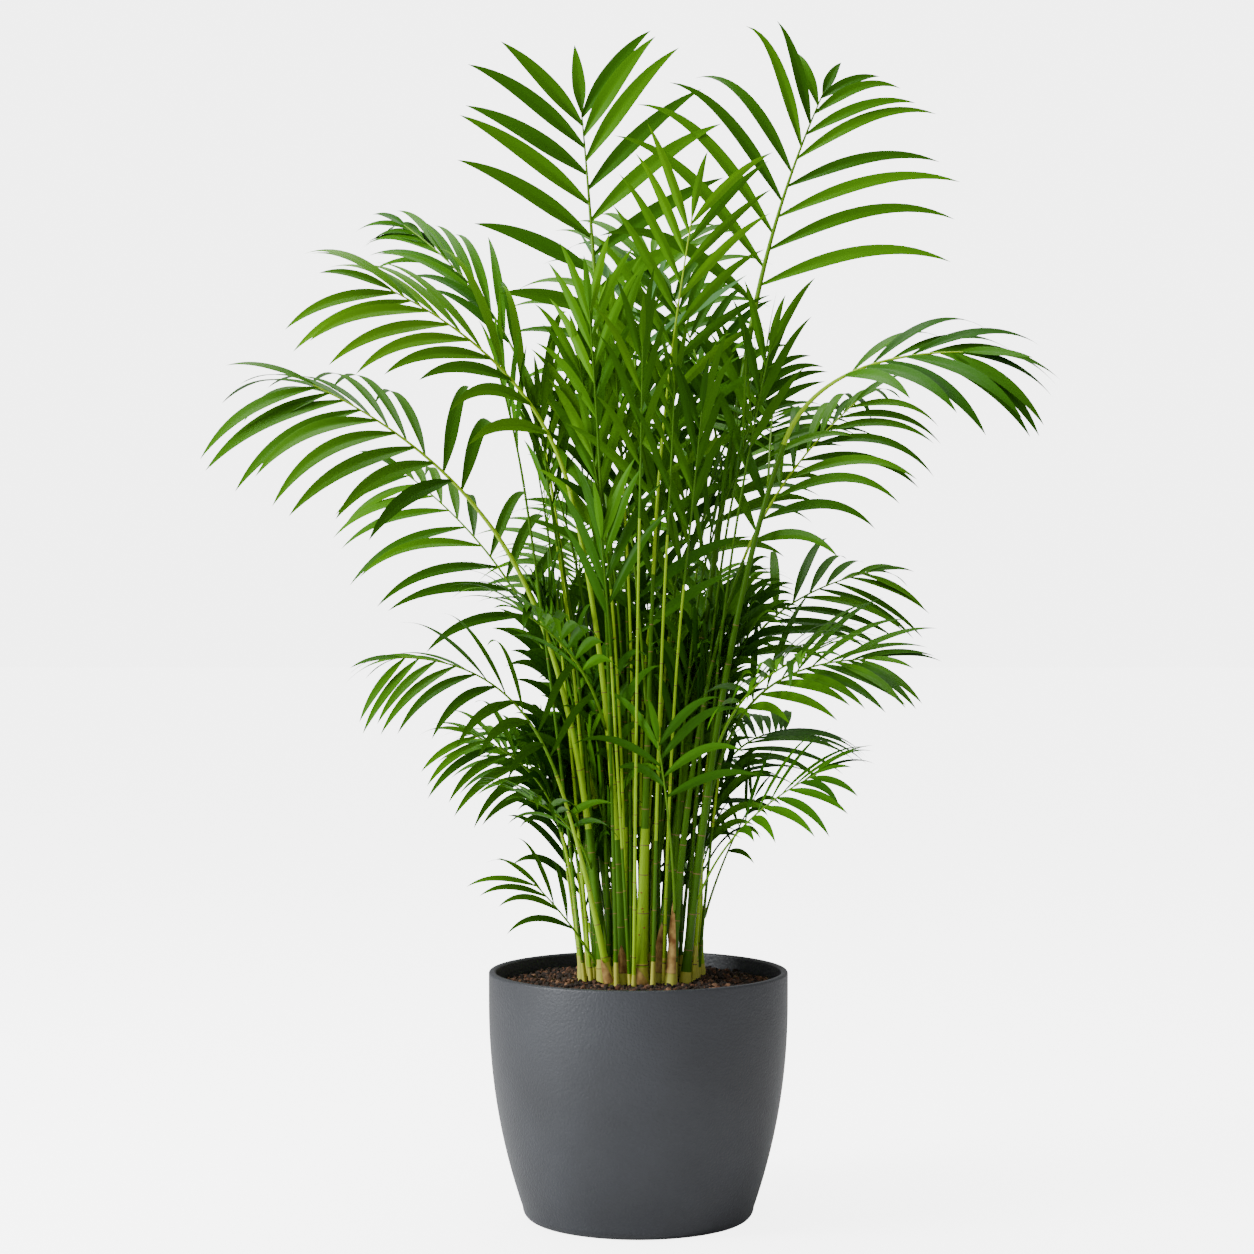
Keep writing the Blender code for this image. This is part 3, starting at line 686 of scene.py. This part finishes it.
END_RADII = {frond.cane: rib_radius(frond, 0) for frond in FRONDS if frond.at == TOP}
INNER_END_RADIUS = KINDS["small"].rib * RIB_SLIM


def drawn_radius(cane, share):
    """A cane as it is drawn: it slims down to the stalk of the frond that ends it."""
    end = END_RADII.get(cane.name, INNER_END_RADIUS)
    return end + (cane.thick - end) * (1 - share) ** DRAWN_TAPER


def flare(height):
    """How much wider a cane is at this height above its foot."""
    return 1 + (FLARE - 1) * math.exp(-(height / FLARE_HEIGHT) ** 2)


def ring_round(centre, heading, facing, radius, sides):
    """The points of a ring across a heading, starting on the side that facing points to."""
    across = heading.cross(facing).normalized()
    front = across.cross(heading)
    ring = []
    for i in range(sides):
        angle = math.tau * i / sides
        ring.append(centre + (front * math.cos(angle) + across * math.sin(angle)) * radius)
    return ring


# Canes

def ring_heights(seed):
    """The heights above the soil of a cane's leaf scars, a little unevenly apart."""
    heights = []
    height = RING_GAPS[0] * (1 + RING_GAP_VARIES * wobble(seed, 1))
    while height < RINGED_TO:
        heights.append(height)
        share = (1 + wobble(seed, len(heights) + 0.3)) / 2
        height += RING_GAPS[0] + (RING_GAPS[1] - RING_GAPS[0]) * share
    return heights


def row_heights(length, scars):
    """The heights of a cane's rings: even steps, and a closer set of rows at every scar."""
    near = [scar + row for scar in scars for row in RING_ROWS]
    count = round(length / CANE_STEP)
    plain = [length * step / count for step in range(count + 1)]
    clear = RING_ROWS[-1] + RING_CLEARANCE
    plain = [height for height in plain if all(abs(height - scar) > clear for scar in scars)]
    return sorted({0.0, FLARE_HEIGHT / 3, length, *plain, *near})


def cane_rows(cane, curve):
    """The rings of a cane, and the finish of each band between them."""
    seed = seed_of(cane.name)
    length = curve.lengths[-1]
    scars = ring_heights(seed)
    facing = direction(cane.turn)
    pale = PALE_FOOT * (1 + PALE_VARIES * wobble(seed, 2))
    aloft = GREEN_BAND if wobble(seed, 3) > GREEN_ALOFT_AT else LIME_BAND
    below = LIME_BAND if wobble(seed, 5) > LIME_BELOW_AT else GREEN_BAND
    rings, bands = [], []
    for height in row_heights(length, scars):
        share = min(1.0, height / length)
        radius = drawn_radius(cane, share) * flare(height)
        off = min((height - scar for scar in scars), key=abs)
        if abs(off) < SWOLLEN_TO:
            fade = max(0.0, 1 - height / RINGED_TO)
            radius *= 1 + RING_SWELL * (SWELL_ALOFT + (1 - SWELL_ALOFT) * fade)
        rings.append(ring_round(curve.point(share), curve.heading(share), facing, radius,
                                CANE_SIDES))
        if math.isclose(off, SCAR_ROW, abs_tol=SCAR_TOLERANCE):
            bands.append(SCAR_BAND)
        elif height < pale + PALE_EDGE_VARIES * wobble(seed, height):
            bands.append(FOOT_BAND)
        elif height < pale + LIME_ABOVE:
            bands.append(below)
        else:
            bands.append(aloft)
    return rings, bands


def sheath_grid(cane, curve, start, end):
    """A dry leaf base that wraps a cane from start to end, and draws in to a point."""
    length = curve.lengths[-1]
    middle = SHEATH_TURNS * wobble(seed_of(cane.name), 4)
    rows = []
    for step in range(SHEATH_STEPS + 1):
        up = step / SHEATH_STEPS
        height = start + (end - start) * up
        share = height / length
        heading = curve.heading(share)
        across = heading.cross(FRONT).normalized()
        front = across.cross(heading)
        radius = drawn_radius(cane, share) * flare(height) + SHEATH_GAP * (1 + up)
        wrap = SHEATH_WRAP * (1 - up ** SHEATH_DRAW_POWER) + SHEATH_POINT
        for place in range(SHEATH_SIDES + 1):
            angle = math.radians(middle + wrap * (place / SHEATH_SIDES - 0.5))
            out = front * math.cos(angle) + across * math.sin(angle)
            rows.append(curve.point(share) + out * radius)
    return np.array(rows)


def build_sheaths(canes, finishes):
    """Dry leaf bases round some canes, and small red-brown marks on the thick one."""
    heap = Heap()
    for name, (start, end) in SHEATHS.items():
        points = sheath_grid(*canes[name], start, end)
        heap.add(points, grid_faces(SHEATH_STEPS + 1, SHEATH_SIDES + 1), 0)
    cane, curve = canes[MARKED_CANE]
    shape, faces = crumb_shape()
    for index, height in enumerate(MARK_HEIGHTS):
        share = height / curve.lengths[-1]
        out = direction(FRONT_TURN + MARK_TURNS * wobble(index, 1))
        place = curve.point(share) + out * drawn_radius(cane, share)
        points = shape * MARK_SIZE * MARK_SHAPE + np.array(place)
        heap.add(points, faces, 1)
    mesh = heap.mesh("sheaths", [finishes["sheath"], finishes["mark"]])
    piece("sheaths", mesh, "cane")


def build_canes(canes, finishes):
    """One piece for the canes, which stand for the solids of the same names."""
    heap = Heap()
    for cane, curve in canes.values():
        rings, bands = cane_rows(cane, curve)
        points, faces = tube(rings)
        heap.add(points, faces, np.repeat(bands[:-1], CANE_SIDES))
    order = [finishes[key] for key in CANE_FINISHES]
    piece("canes", heap.mesh("canes", order), "cane", *canes)


# Leaflets

def blade_frame(frond, heading, share):
    """(side, face): across the blade, and out of its upper face, at a share of the rib."""
    angle = math.radians(frond.turn)
    level = Vector((-math.sin(angle), math.cos(angle), 0))
    level = (level - heading * level.dot(heading)).normalized()
    face = heading.cross(level)
    roll = math.radians(frond.roll + frond.twist * share) * min(1, share / frond.bare)
    side = level * math.cos(roll) + face * math.sin(roll)
    return side, heading.cross(side)


def length_share(kind, along):
    """How long a leaflet is at a place along the blade, as a share of the longest."""
    if along < kind.longest_at:
        return 1 - (1 - kind.root_share) * (1 - along / kind.longest_at) ** 2
    past = (along - kind.longest_at) / (1 - kind.longest_at)
    return 1 - (1 - kind.tip_share) * past ** 2


class Leaflet(NamedTuple):
    """Where a leaflet starts, its first heading, its upper face, and its size."""
    root: Vector
    heading: Vector
    face: Vector
    length: float
    width: float
    sink: float


def leaflets(frond, curve):
    """The leaflets of a frond, its two sides by turns, with one more at the tip."""
    kind = KINDS[frond.kind]
    seed = seed_of(frond.name)
    count = 2 * kind.pairs
    found = []
    for step in range(count):
        hand = -frond.first if step % 2 else frond.first
        along = 1 - (1 - (step + 0.5) / count) ** CLOSING
        share = frond.bare + (BLADE_END - frond.bare) * along
        heading = curve.heading(share)
        side, face = blade_frame(frond, heading, share)
        opening = OPEN_AT_ROOT + (OPEN_AT_TIP - OPEN_AT_ROOT) * along
        opening = math.radians(opening * frond.open + OPEN_VARIES * wobble(seed, step))
        lift = LIFT + (frond.lift - LIFT) * along
        lift = math.radians(lift + LIFT_VARIES * wobble(seed, step + 0.75))
        first = heading * math.cos(opening) + side * hand * math.sin(opening)
        first = (first + face * math.sin(lift)).normalized()
        share_of_length = length_share(kind, along)
        length = kind.leaflet * frond.size * share_of_length
        length *= 1 + LENGTH_VARIES * wobble(seed, step + 0.5)
        width = kind.width * frond.size
        width *= WIDTH_AT_LEAST + (1 - WIDTH_AT_LEAST) * share_of_length
        sink = kind.sink * frond.sink * (1 + SINK_VARIES * wobble(seed, step + 0.25))
        found.append(Leaflet(curve.point(share), first, face, length, width, sink))
    heading = curve.heading(1)
    face = blade_frame(frond, heading, 1)[1]
    length = kind.leaflet * frond.size * kind.tip_share * END_LENGTH
    width = kind.width * frond.size * END_WIDTH
    found.append(Leaflet(curve.point(END_AT), heading, face, length, width, kind.sink * END_SINK))
    return found


def outline(share):
    """A leaflet's width at a share of its length: a narrow root and a long drawn tip."""
    if share < WIDEST_AT:
        return NARROW_ROOT + (1 - NARROW_ROOT) * math.sin(math.pi / 2 * share / WIDEST_AT)
    past = (share - WIDEST_AT) / (1 - WIDEST_AT)
    return (1 - past ** TIP_POWER) * (1 - TIP_DRAW * past) + TIP_WIDTH


def leaflet_grid(leaflet):
    """A leaflet's points in rows: it sinks under its weight, folded at the root and pleated."""
    across = leaflet.face.cross(leaflet.heading).normalized()
    point = leaflet.root.copy()
    rows = []
    for step in range(LEAFLET_STEPS + 1):
        share = step / LEAFLET_STEPS
        heading = (leaflet.heading - UP * leaflet.sink * share ** SINK_POWER).normalized()
        level = (across - heading * across.dot(heading)).normalized()
        normal = heading.cross(level)
        if normal.dot(leaflet.face) < 0:
            normal = -normal
        half = leaflet.width / 2 * outline(share)
        fold = FOLD_AT_TIP + (FOLD_AT_ROOT - FOLD_AT_TIP) * (1 - share) ** FOLD_POWER
        row = []
        for place, pleat in enumerate(PLEATS):
            lift = half * (abs(pleat) * math.sin(fold) + PLEAT_DEPTH * (place % 2))
            row.append(point + level * (half * pleat * math.cos(fold)) + normal * lift)
        rows.append(row)
        point = point + heading * (leaflet.length / LEAFLET_STEPS)
    return rows


LEAF_FACES = grid_faces(LEAFLET_STEPS + 1, len(PLEATS))


class Limbs:
    """Every cane and rib, so that a leaflet can keep clear of all but its own."""

    def __init__(self):
        self.taken = []

    def take(self, owner, points, faces):
        points = [Vector(point) for point in points]
        low = Vector([min(point[i] for point in points) for i in range(3)])
        high = Vector([max(point[i] for point in points) for i in range(3)])
        tree = BVHTree.FromPolygons(points, [tuple(face) for face in faces.tolist()])
        self.taken.append((owner, tree, low, high))

    def touched(self, owner, points, faces):
        low = points.min(axis=0)
        high = points.max(axis=0)
        near = []
        for other, tree, other_low, other_high in self.taken:
            if other == owner:
                continue
            if any(low[i] > other_high[i] or high[i] < other_low[i] for i in range(3)):
                continue
            near.append(tree)
        if not near:
            return False
        own = BVHTree.FromPolygons([Vector(point) for point in points],
                                   [tuple(face) for face in faces.tolist()])
        return any(own.overlap(tree) for tree in near)


def clear_grid(owner, leaflet, limbs):
    """A leaflet's points where it is clear of the limbs: turned a little, shorter, or none."""
    side = leaflet.heading.cross(leaflet.face).normalized()
    for share, tilt in TRIES:
        angle = math.radians(tilt)
        heading = leaflet.heading * math.cos(angle) + leaflet.face * math.sin(angle)
        tried = leaflet._replace(heading=heading.normalized(), length=leaflet.length * share,
                                 face=side.cross(heading).normalized())
        points = np.array(leaflet_grid(tried)).reshape(-1, 3)
        if not limbs.touched(owner, points, LEAF_FACES):
            return points
    return None


def rib_rings(frond, curve, canes):
    """The rings of a rib. A side frond's begins inside its cane, a little lower down."""
    rings = []
    if frond.at != TOP:
        stem = canes[frond.cane][1]
        below = stem.share_at_height(frond.at - PETIOLE_DROP)
        rings.append(ring_round(stem.point(below), stem.heading(below), direction(frond.turn),
                                rib_radius(frond, 0), RIB_SIDES))
    for step in range(RIB_RINGS + 1):
        share = step / RIB_RINGS
        heading = curve.heading(share)
        facing = blade_frame(frond, heading, share)[1]
        rings.append(ring_round(curve.point(share), heading, facing, rib_radius(frond, share),
                                RIB_SIDES))
    return rings


def inner_frond(rng, name, stalk, inner):
    """The frond that ends an inner stalk. Those in front get a lighter tone, which is painted
    light, and some of those behind get a darker tone, which is painted shade.
    """
    reach = rng.uniform(*INNER_REACHES)
    rise = rng.uniform(*INNER_RISES) * inner.rise
    roll = rng.uniform(*INNER_ROLLS)
    size = rng.uniform(*INNER_SIZES) * inner.size
    # In front, the lighter tone is painted light; behind, the darker tone is painted shade.
    if inner is FRONT_INNER:
        tone = "bright" if wobble(seed_of(name), 0) > PAINTED_LIGHT_ABOVE else "mid"
    else:
        tone = "mid" if rng.random() < MID_SHARE else "deep"
    return Frond(name, stalk.name, TOP, stalk.turn, 0, reach, rise, inner.kind, roll=roll,
                 open=inner.open, size=size, sink=inner.sink, bare=inner.bare, tone=tone)


def thicket(canes, limbs):
    """Thin inner stalks that fill the clump: tall ones in front, low ones behind.

    Each ends in a frond. A stalk that would touch a limb is left out.
    """
    rng = random.Random(THICKET_SEED)
    fronds = []
    for index in range(STALK_TRIES):
        if len(fronds) == STALKS:
            break
        around = rng.uniform(0, 360)
        foot = direction(around) * CLUMP_RADIUS * math.sqrt(rng.random())
        turn = around + rng.uniform(*STALK_TURNS)
        inner = FRONT_INNER if foot.y < FRONT_OF else BACK_INNER
        top = rng.uniform(*inner.tops)
        fan = STALK_FAN * (top - SOIL_TOP) / FAN_HEIGHT
        reach = fan * foot.length * rng.uniform(*FAN_VARIES)
        stalk = Cane(f"stalk_{index}", (foot.x, foot.y), turn, reach, top,
                     rng.uniform(*STALK_LEANS), rng.uniform(*STALK_RADII))
        frond = inner_frond(rng, f"stalk_frond_{index}", stalk, inner)
        curve = cane_curve(stalk)
        near = {stalk.name: (stalk, curve)}
        points, faces = tube(cane_rows(stalk, curve)[0])
        rib = tube(rib_rings(frond, rib_curve(frond, near), near))
        if limbs.touched(stalk.name, points, faces) or limbs.touched(stalk.name, *rib):
            continue
        limbs.take(stalk.name, points, faces)
        limbs.take(frond.name, *rib)
        canes.update(near)
        fronds.append(frond)
    return fronds


def heap_leaflets(frond, curve, limbs, heap):
    """Puts a frond's leaflets on a heap, each in one of its tone's shades."""
    seed = seed_of(frond.name)
    for index, leaflet in enumerate(leaflets(frond, curve)):
        points = clear_grid(frond.name, leaflet, limbs)
        if points is not None:
            share = (wobble(seed, index + 0.7) + 1) / 2
            heap.add(points, LEAF_FACES, min(SHADES - 1, int(share * SHADES)))


def leaf_piece(name, heap, tone, leaf_finishes, *nodes):
    finishes = [leaf_finishes[tone, step] for step in range(SHADES)]
    piece(name, heap.mesh(name, finishes), "leaf_" + tone, *nodes)


def build_fronds(canes, limbs, finishes, leaf_finishes):
    """One piece for the ribs and one for each tone's leaflets, and then the inner fronds."""
    curves = {}
    ribs = Heap()
    for frond in FRONDS:
        curve = rib_curve(frond, canes)
        points, faces = tube(rib_rings(frond, curve, canes))
        limbs.take(frond.name, points, faces)
        ribs.add(points, faces, 1 if frond.name in LIME_RIBS else 0)
        curves[frond.name] = curve
    piece("ribs", ribs.mesh("ribs", [finishes["rib"], finishes["lime"]]), "cane", *curves)
    inner = thicket(canes, limbs)
    for tone in LEAF_COLOURS:
        heap = Heap()
        chosen = [frond for frond in FRONDS if frond.tone == tone]
        for frond in chosen:
            heap_leaflets(frond, curves[frond.name], limbs, heap)
        leaf_piece("leaves_" + tone, heap, tone, leaf_finishes, *[frond.name for frond in chosen])
    build_thicket(inner, canes, limbs, finishes, leaf_finishes)


def build_thicket(fronds, canes, limbs, finishes, leaf_finishes):
    """The inner stalks and their fronds, which stand for no solid of their own."""
    stalks = Heap()
    # The darker and lighter tones here are painted shade and painted light on the inner fronds.
    leaves = {"bright": Heap(), "mid": Heap(), "deep": Heap()}
    for frond in fronds:
        stalk, curve = canes[frond.cane]
        rings, bands = cane_rows(stalk, curve)
        points, faces = tube(rings)
        stalks.add(points, faces, np.repeat(bands[:-1], CANE_SIDES))
        rib = rib_curve(frond, canes)
        points, faces = tube(rib_rings(frond, rib, canes))
        stalks.add(points, faces, GREEN_BAND)
        heap_leaflets(frond, rib, limbs, leaves[frond.tone])
    order = [finishes[key] for key in CANE_FINISHES]
    piece("inner_stalks", stalks.mesh("inner_stalks", order), "cane")
    for tone, heap in leaves.items():
        leaf_piece("inner_leaves_" + tone, heap, tone, leaf_finishes)


# Pot and soil

def turned(name, profile, sides, finish):
    """A mesh turned round Z from (radius, height) points that start and end on the axis."""
    angles = np.linspace(0, math.tau, sides, endpoint=False)
    inner = profile[1:-1]
    rings = [[(radius * math.cos(a), radius * math.sin(a), height) for a in angles]
             for radius, height in inner]
    points = [point for ring in rings for point in ring]
    faces = grid_faces(len(inner), sides, around=True).tolist()
    start, end = len(points), len(points) + 1
    points += [(0, 0, profile[0][1]), (0, 0, profile[-1][1])]
    last = (len(inner) - 1) * sides
    for i in range(sides):
        j = (i + 1) % sides
        faces.append((start, j, i))
        faces.append((end, last + i, last + j))
    mesh = bpy.data.meshes.new(name)
    mesh.from_pydata(points, [], faces)
    mesh.materials.append(finish)
    mesh.shade_smooth()
    mesh.update()
    return mesh


def wall_radius(height):
    """The pot's outer radius: upright at the rim, drawn in toward the foot."""
    below = max(0.0, (SHOULDER - height) / SHOULDER)
    return RIM_RADIUS - FOOT_DRAW * below ** FOOT_POWER


def arc(centre, radius, start, end):
    """Points of an arc, in degrees, in the plane of radius and height."""
    found = []
    for step in range(ARC_STEPS + 1):
        angle = math.radians(start + (end - start) * step / ARC_STEPS)
        found.append((centre[0] + radius * math.cos(angle), centre[1] + radius * math.sin(angle)))
    return found


def pot_profile():
    """The pot's section, from the middle of its underside round the wall to its floor."""
    corner = wall_radius(FOOT_ROUNDING) - FOOT_ROUNDING
    points = [(0, 0), (corner * UNDERSIDE_RING, 0)]
    points += arc((corner, FOOT_ROUNDING), FOOT_ROUNDING, -90, 0)
    for step in range(1, WALL_STEPS + 1):
        height = FOOT_ROUNDING + (SHOULDER - FOOT_ROUNDING) * step / WALL_STEPS
        points.append((wall_radius(height), height))
    rim = POT_HEIGHT - LIP_ROUNDING
    points += arc((RIM_RADIUS - LIP_ROUNDING, rim), LIP_ROUNDING, 0, 90)
    points += arc((RIM_RADIUS - WALL + LIP_ROUNDING, rim), LIP_ROUNDING, 90, 180)
    for step in range(INNER_STEPS, 0, -1):
        height = SHOULDER * step / INNER_STEPS
        points.append((wall_radius(height) - WALL, max(height, FLOOR)))
    points += [(corner, FLOOR), (corner * UNDERSIDE_RING, FLOOR), (0, FLOOR)]
    return points


def soil_height(radius):
    """The soil's height: level round the canes, and falling to the wall."""
    edge = wall_radius(SOIL_EDGE) - WALL
    if radius < MOUND_RADIUS:
        return SOIL_TOP
    share = (radius - MOUND_RADIUS) / (edge - MOUND_RADIUS)
    return SOIL_TOP + (SOIL_EDGE - SOIL_TOP) * min(1, share)


def build_soil(finishes):
    """The soil's body with a rough top, and crumbs strewn over it."""
    rng = random.Random(SOIL_SEED)
    edge = wall_radius(SOIL_EDGE) - WALL - CLEAR
    profile = [(0, FLOOR + CLEAR), (SOIL_BASE, FLOOR + CLEAR)]
    for height in SOIL_LEVELS:
        profile.append((wall_radius(height) - WALL - CLEAR, height))
    for step in range(SOIL_RINGS + 1):
        radius = edge * (1 - step / (SOIL_RINGS + 1))
        profile.append((radius, soil_height(radius)))
    profile.append((0, SOIL_TOP))
    mesh = turned("soil", profile, SOIL_SIDES, finishes["base"])
    for vert in mesh.vertices:
        if vert.co.z > SOIL_EDGE - SURFACE_BAND:
            vert.co.z += rng.uniform(*RELIEF_ENDS) * SOIL_RELIEF
    piece("soil_bed", mesh, "soil", "soil")
    build_crumbs(finishes, edge, rng)


def crumb_shape():
    """Points and faces of a twenty-sided solid of radius 1."""
    golden = (1 + 5 ** 0.5) / 2
    points = np.array([(-1, golden, 0), (1, golden, 0), (-1, -golden, 0), (1, -golden, 0),
                       (0, -1, golden), (0, 1, golden), (0, -1, -golden), (0, 1, -golden),
                       (golden, 0, -1), (golden, 0, 1), (-golden, 0, -1), (-golden, 0, 1)])
    faces = [(0, 11, 5), (0, 5, 1), (0, 1, 7), (0, 7, 10), (0, 10, 11), (1, 5, 9), (5, 11, 4),
             (11, 10, 2), (10, 7, 6), (7, 1, 8), (3, 9, 4), (3, 4, 2), (3, 2, 6), (3, 6, 8),
             (3, 8, 9), (4, 9, 5), (2, 4, 11), (6, 2, 10), (8, 6, 7), (9, 8, 1)]
    return points / math.hypot(1, golden), faces


def build_crumbs(finishes, edge, rng):
    """Crumbs of four browns, each a dented, stretched and turned solid on the soil."""
    shape, faces = crumb_shape()
    heap = Heap()
    draw = np.random.default_rng(CRUMB_SEED)
    smallest, largest = CRUMB_SIZES
    shares = list(CRUMB_SHARES.values())
    for _ in range(CRUMBS):
        angle = rng.uniform(0, math.tau)
        radius = (edge - CRUMB_MARGIN) * math.sqrt(rng.random())
        size = smallest + (largest - smallest) * rng.random() ** CRUMB_SIZE_POWER
        stretch = draw.uniform(*CRUMB_STRETCH, 3) * size
        dents = 1 + draw.uniform(-CRUMB_DENTS, CRUMB_DENTS, (len(shape), 1))
        turn = draw.uniform(0, math.tau)
        cos, sin = math.cos(turn), math.sin(turn)
        turn_matrix = np.array(((cos, sin, 0), (-sin, cos, 0), (0, 0, 1)))
        points = (shape * dents * stretch) @ turn_matrix
        place = (radius * math.cos(angle), radius * math.sin(angle),
                 soil_height(radius) + size * CRUMB_RAISE)
        mark = draw.choice(len(shares), p=shares)
        heap.add(points + place, faces, mark)
    mesh = heap.mesh("soil_crumbs", [finishes[key] for key in CRUMB_SHARES])
    mesh.shade_flat()
    piece("soil_crumbs", mesh, "soil")


def build_pot():
    mesh = turned("pot", pot_profile(), POT_SIDES, pot_material())
    piece("pot_shell", mesh, "pot", "pot")


# Studio

def shown_and_lit(tree, shown, lit):
    """A strength that the camera sees as shown, and that lights the plant as lit."""
    path = tree.nodes.new("ShaderNodeLightPath")
    strength = tree.nodes.new("ShaderNodeMapRange")
    strength.inputs["To Min"].default_value = lit
    strength.inputs["To Max"].default_value = shown
    tree.links.new(path.outputs["Is Camera Ray"], strength.inputs["Value"])
    return strength.outputs["Result"]


def build_floor():
    """A plain floor that the camera sees almost white, and that lights nothing."""
    half = FLOOR_SIZE / 2
    mesh = bpy.data.meshes.new("floor")
    mesh.from_pydata([(-half, -half, 0), (half, -half, 0), (half, half, 0), (-half, half, 0)], [],
                     [(0, 1, 2, 3)])
    finish = material("studio_floor", (0.85, 0.85, 0.85), 0.9, specular=0.1)
    shader = finish.node_tree.nodes["Principled BSDF"]
    shader.inputs["Emission Color"].default_value = (1, 1, 1, 1)
    finish.node_tree.links.new(shown_and_lit(finish.node_tree, FLOOR_SHOWN, 0),
                               shader.inputs["Emission Strength"])
    mesh.materials.append(finish)
    made = bpy.data.objects.new("floor", mesh)
    bpy.context.scene.collection.objects.link(made)


def light(name, place, size, power, colour):
    """A soft box that faces the middle of the plant."""
    data = bpy.data.lights.new(name, "AREA")
    data.shape = "RECTANGLE"
    data.size, data.size_y = size
    data.energy = power
    data.color = colour
    made = bpy.data.objects.new(name, data)
    made.location = place
    facing = Vector((0, 0, LIGHTS_FACE)) - Vector(place)
    made.rotation_euler = facing.to_track_quat("-Z", "Y").to_euler()
    bpy.context.scene.collection.objects.link(made)


def build_lights():
    for values in LIGHTS:
        light(*values)
    world = bpy.data.worlds.new("studio")
    world.use_nodes = True
    background = world.node_tree.nodes["Background"]
    background.inputs["Color"].default_value = (1, 1, 1, 1)
    world.node_tree.links.new(shown_and_lit(world.node_tree, WORLD_SHOWN, WORLD_LIGHT),
                              background.inputs["Strength"])
    bpy.context.scene.world = world


def build_camera():
    data = bpy.data.cameras.new("camera")
    data.lens = CAMERA_LENS
    data.sensor_width = CAMERA_SENSOR
    camera = bpy.data.objects.new("camera", data)
    camera.location = CAMERA_PLACE
    camera.rotation_euler = (math.radians(90 - CAMERA_DOWN), 0, 0)
    bpy.context.scene.collection.objects.link(camera)
    bpy.context.scene.camera = camera


def build_plant():
    """The canes first, because ribs start on them and leaflets keep clear of them."""
    finishes = cane_materials()
    canes = {cane.name: (cane, cane_curve(cane)) for cane in CANES}
    limbs = Limbs()
    for cane, curve in canes.values():
        rings, _ = cane_rows(cane, curve)
        limbs.take(cane.name, *tube(rings))
    build_canes(canes, finishes)
    build_sheaths(canes, finishes)
    build_fronds(canes, limbs, finishes, leaf_materials())


build_camera()
build_pot()
build_soil(soil_materials())
build_plant()
build_floor()
build_lights()
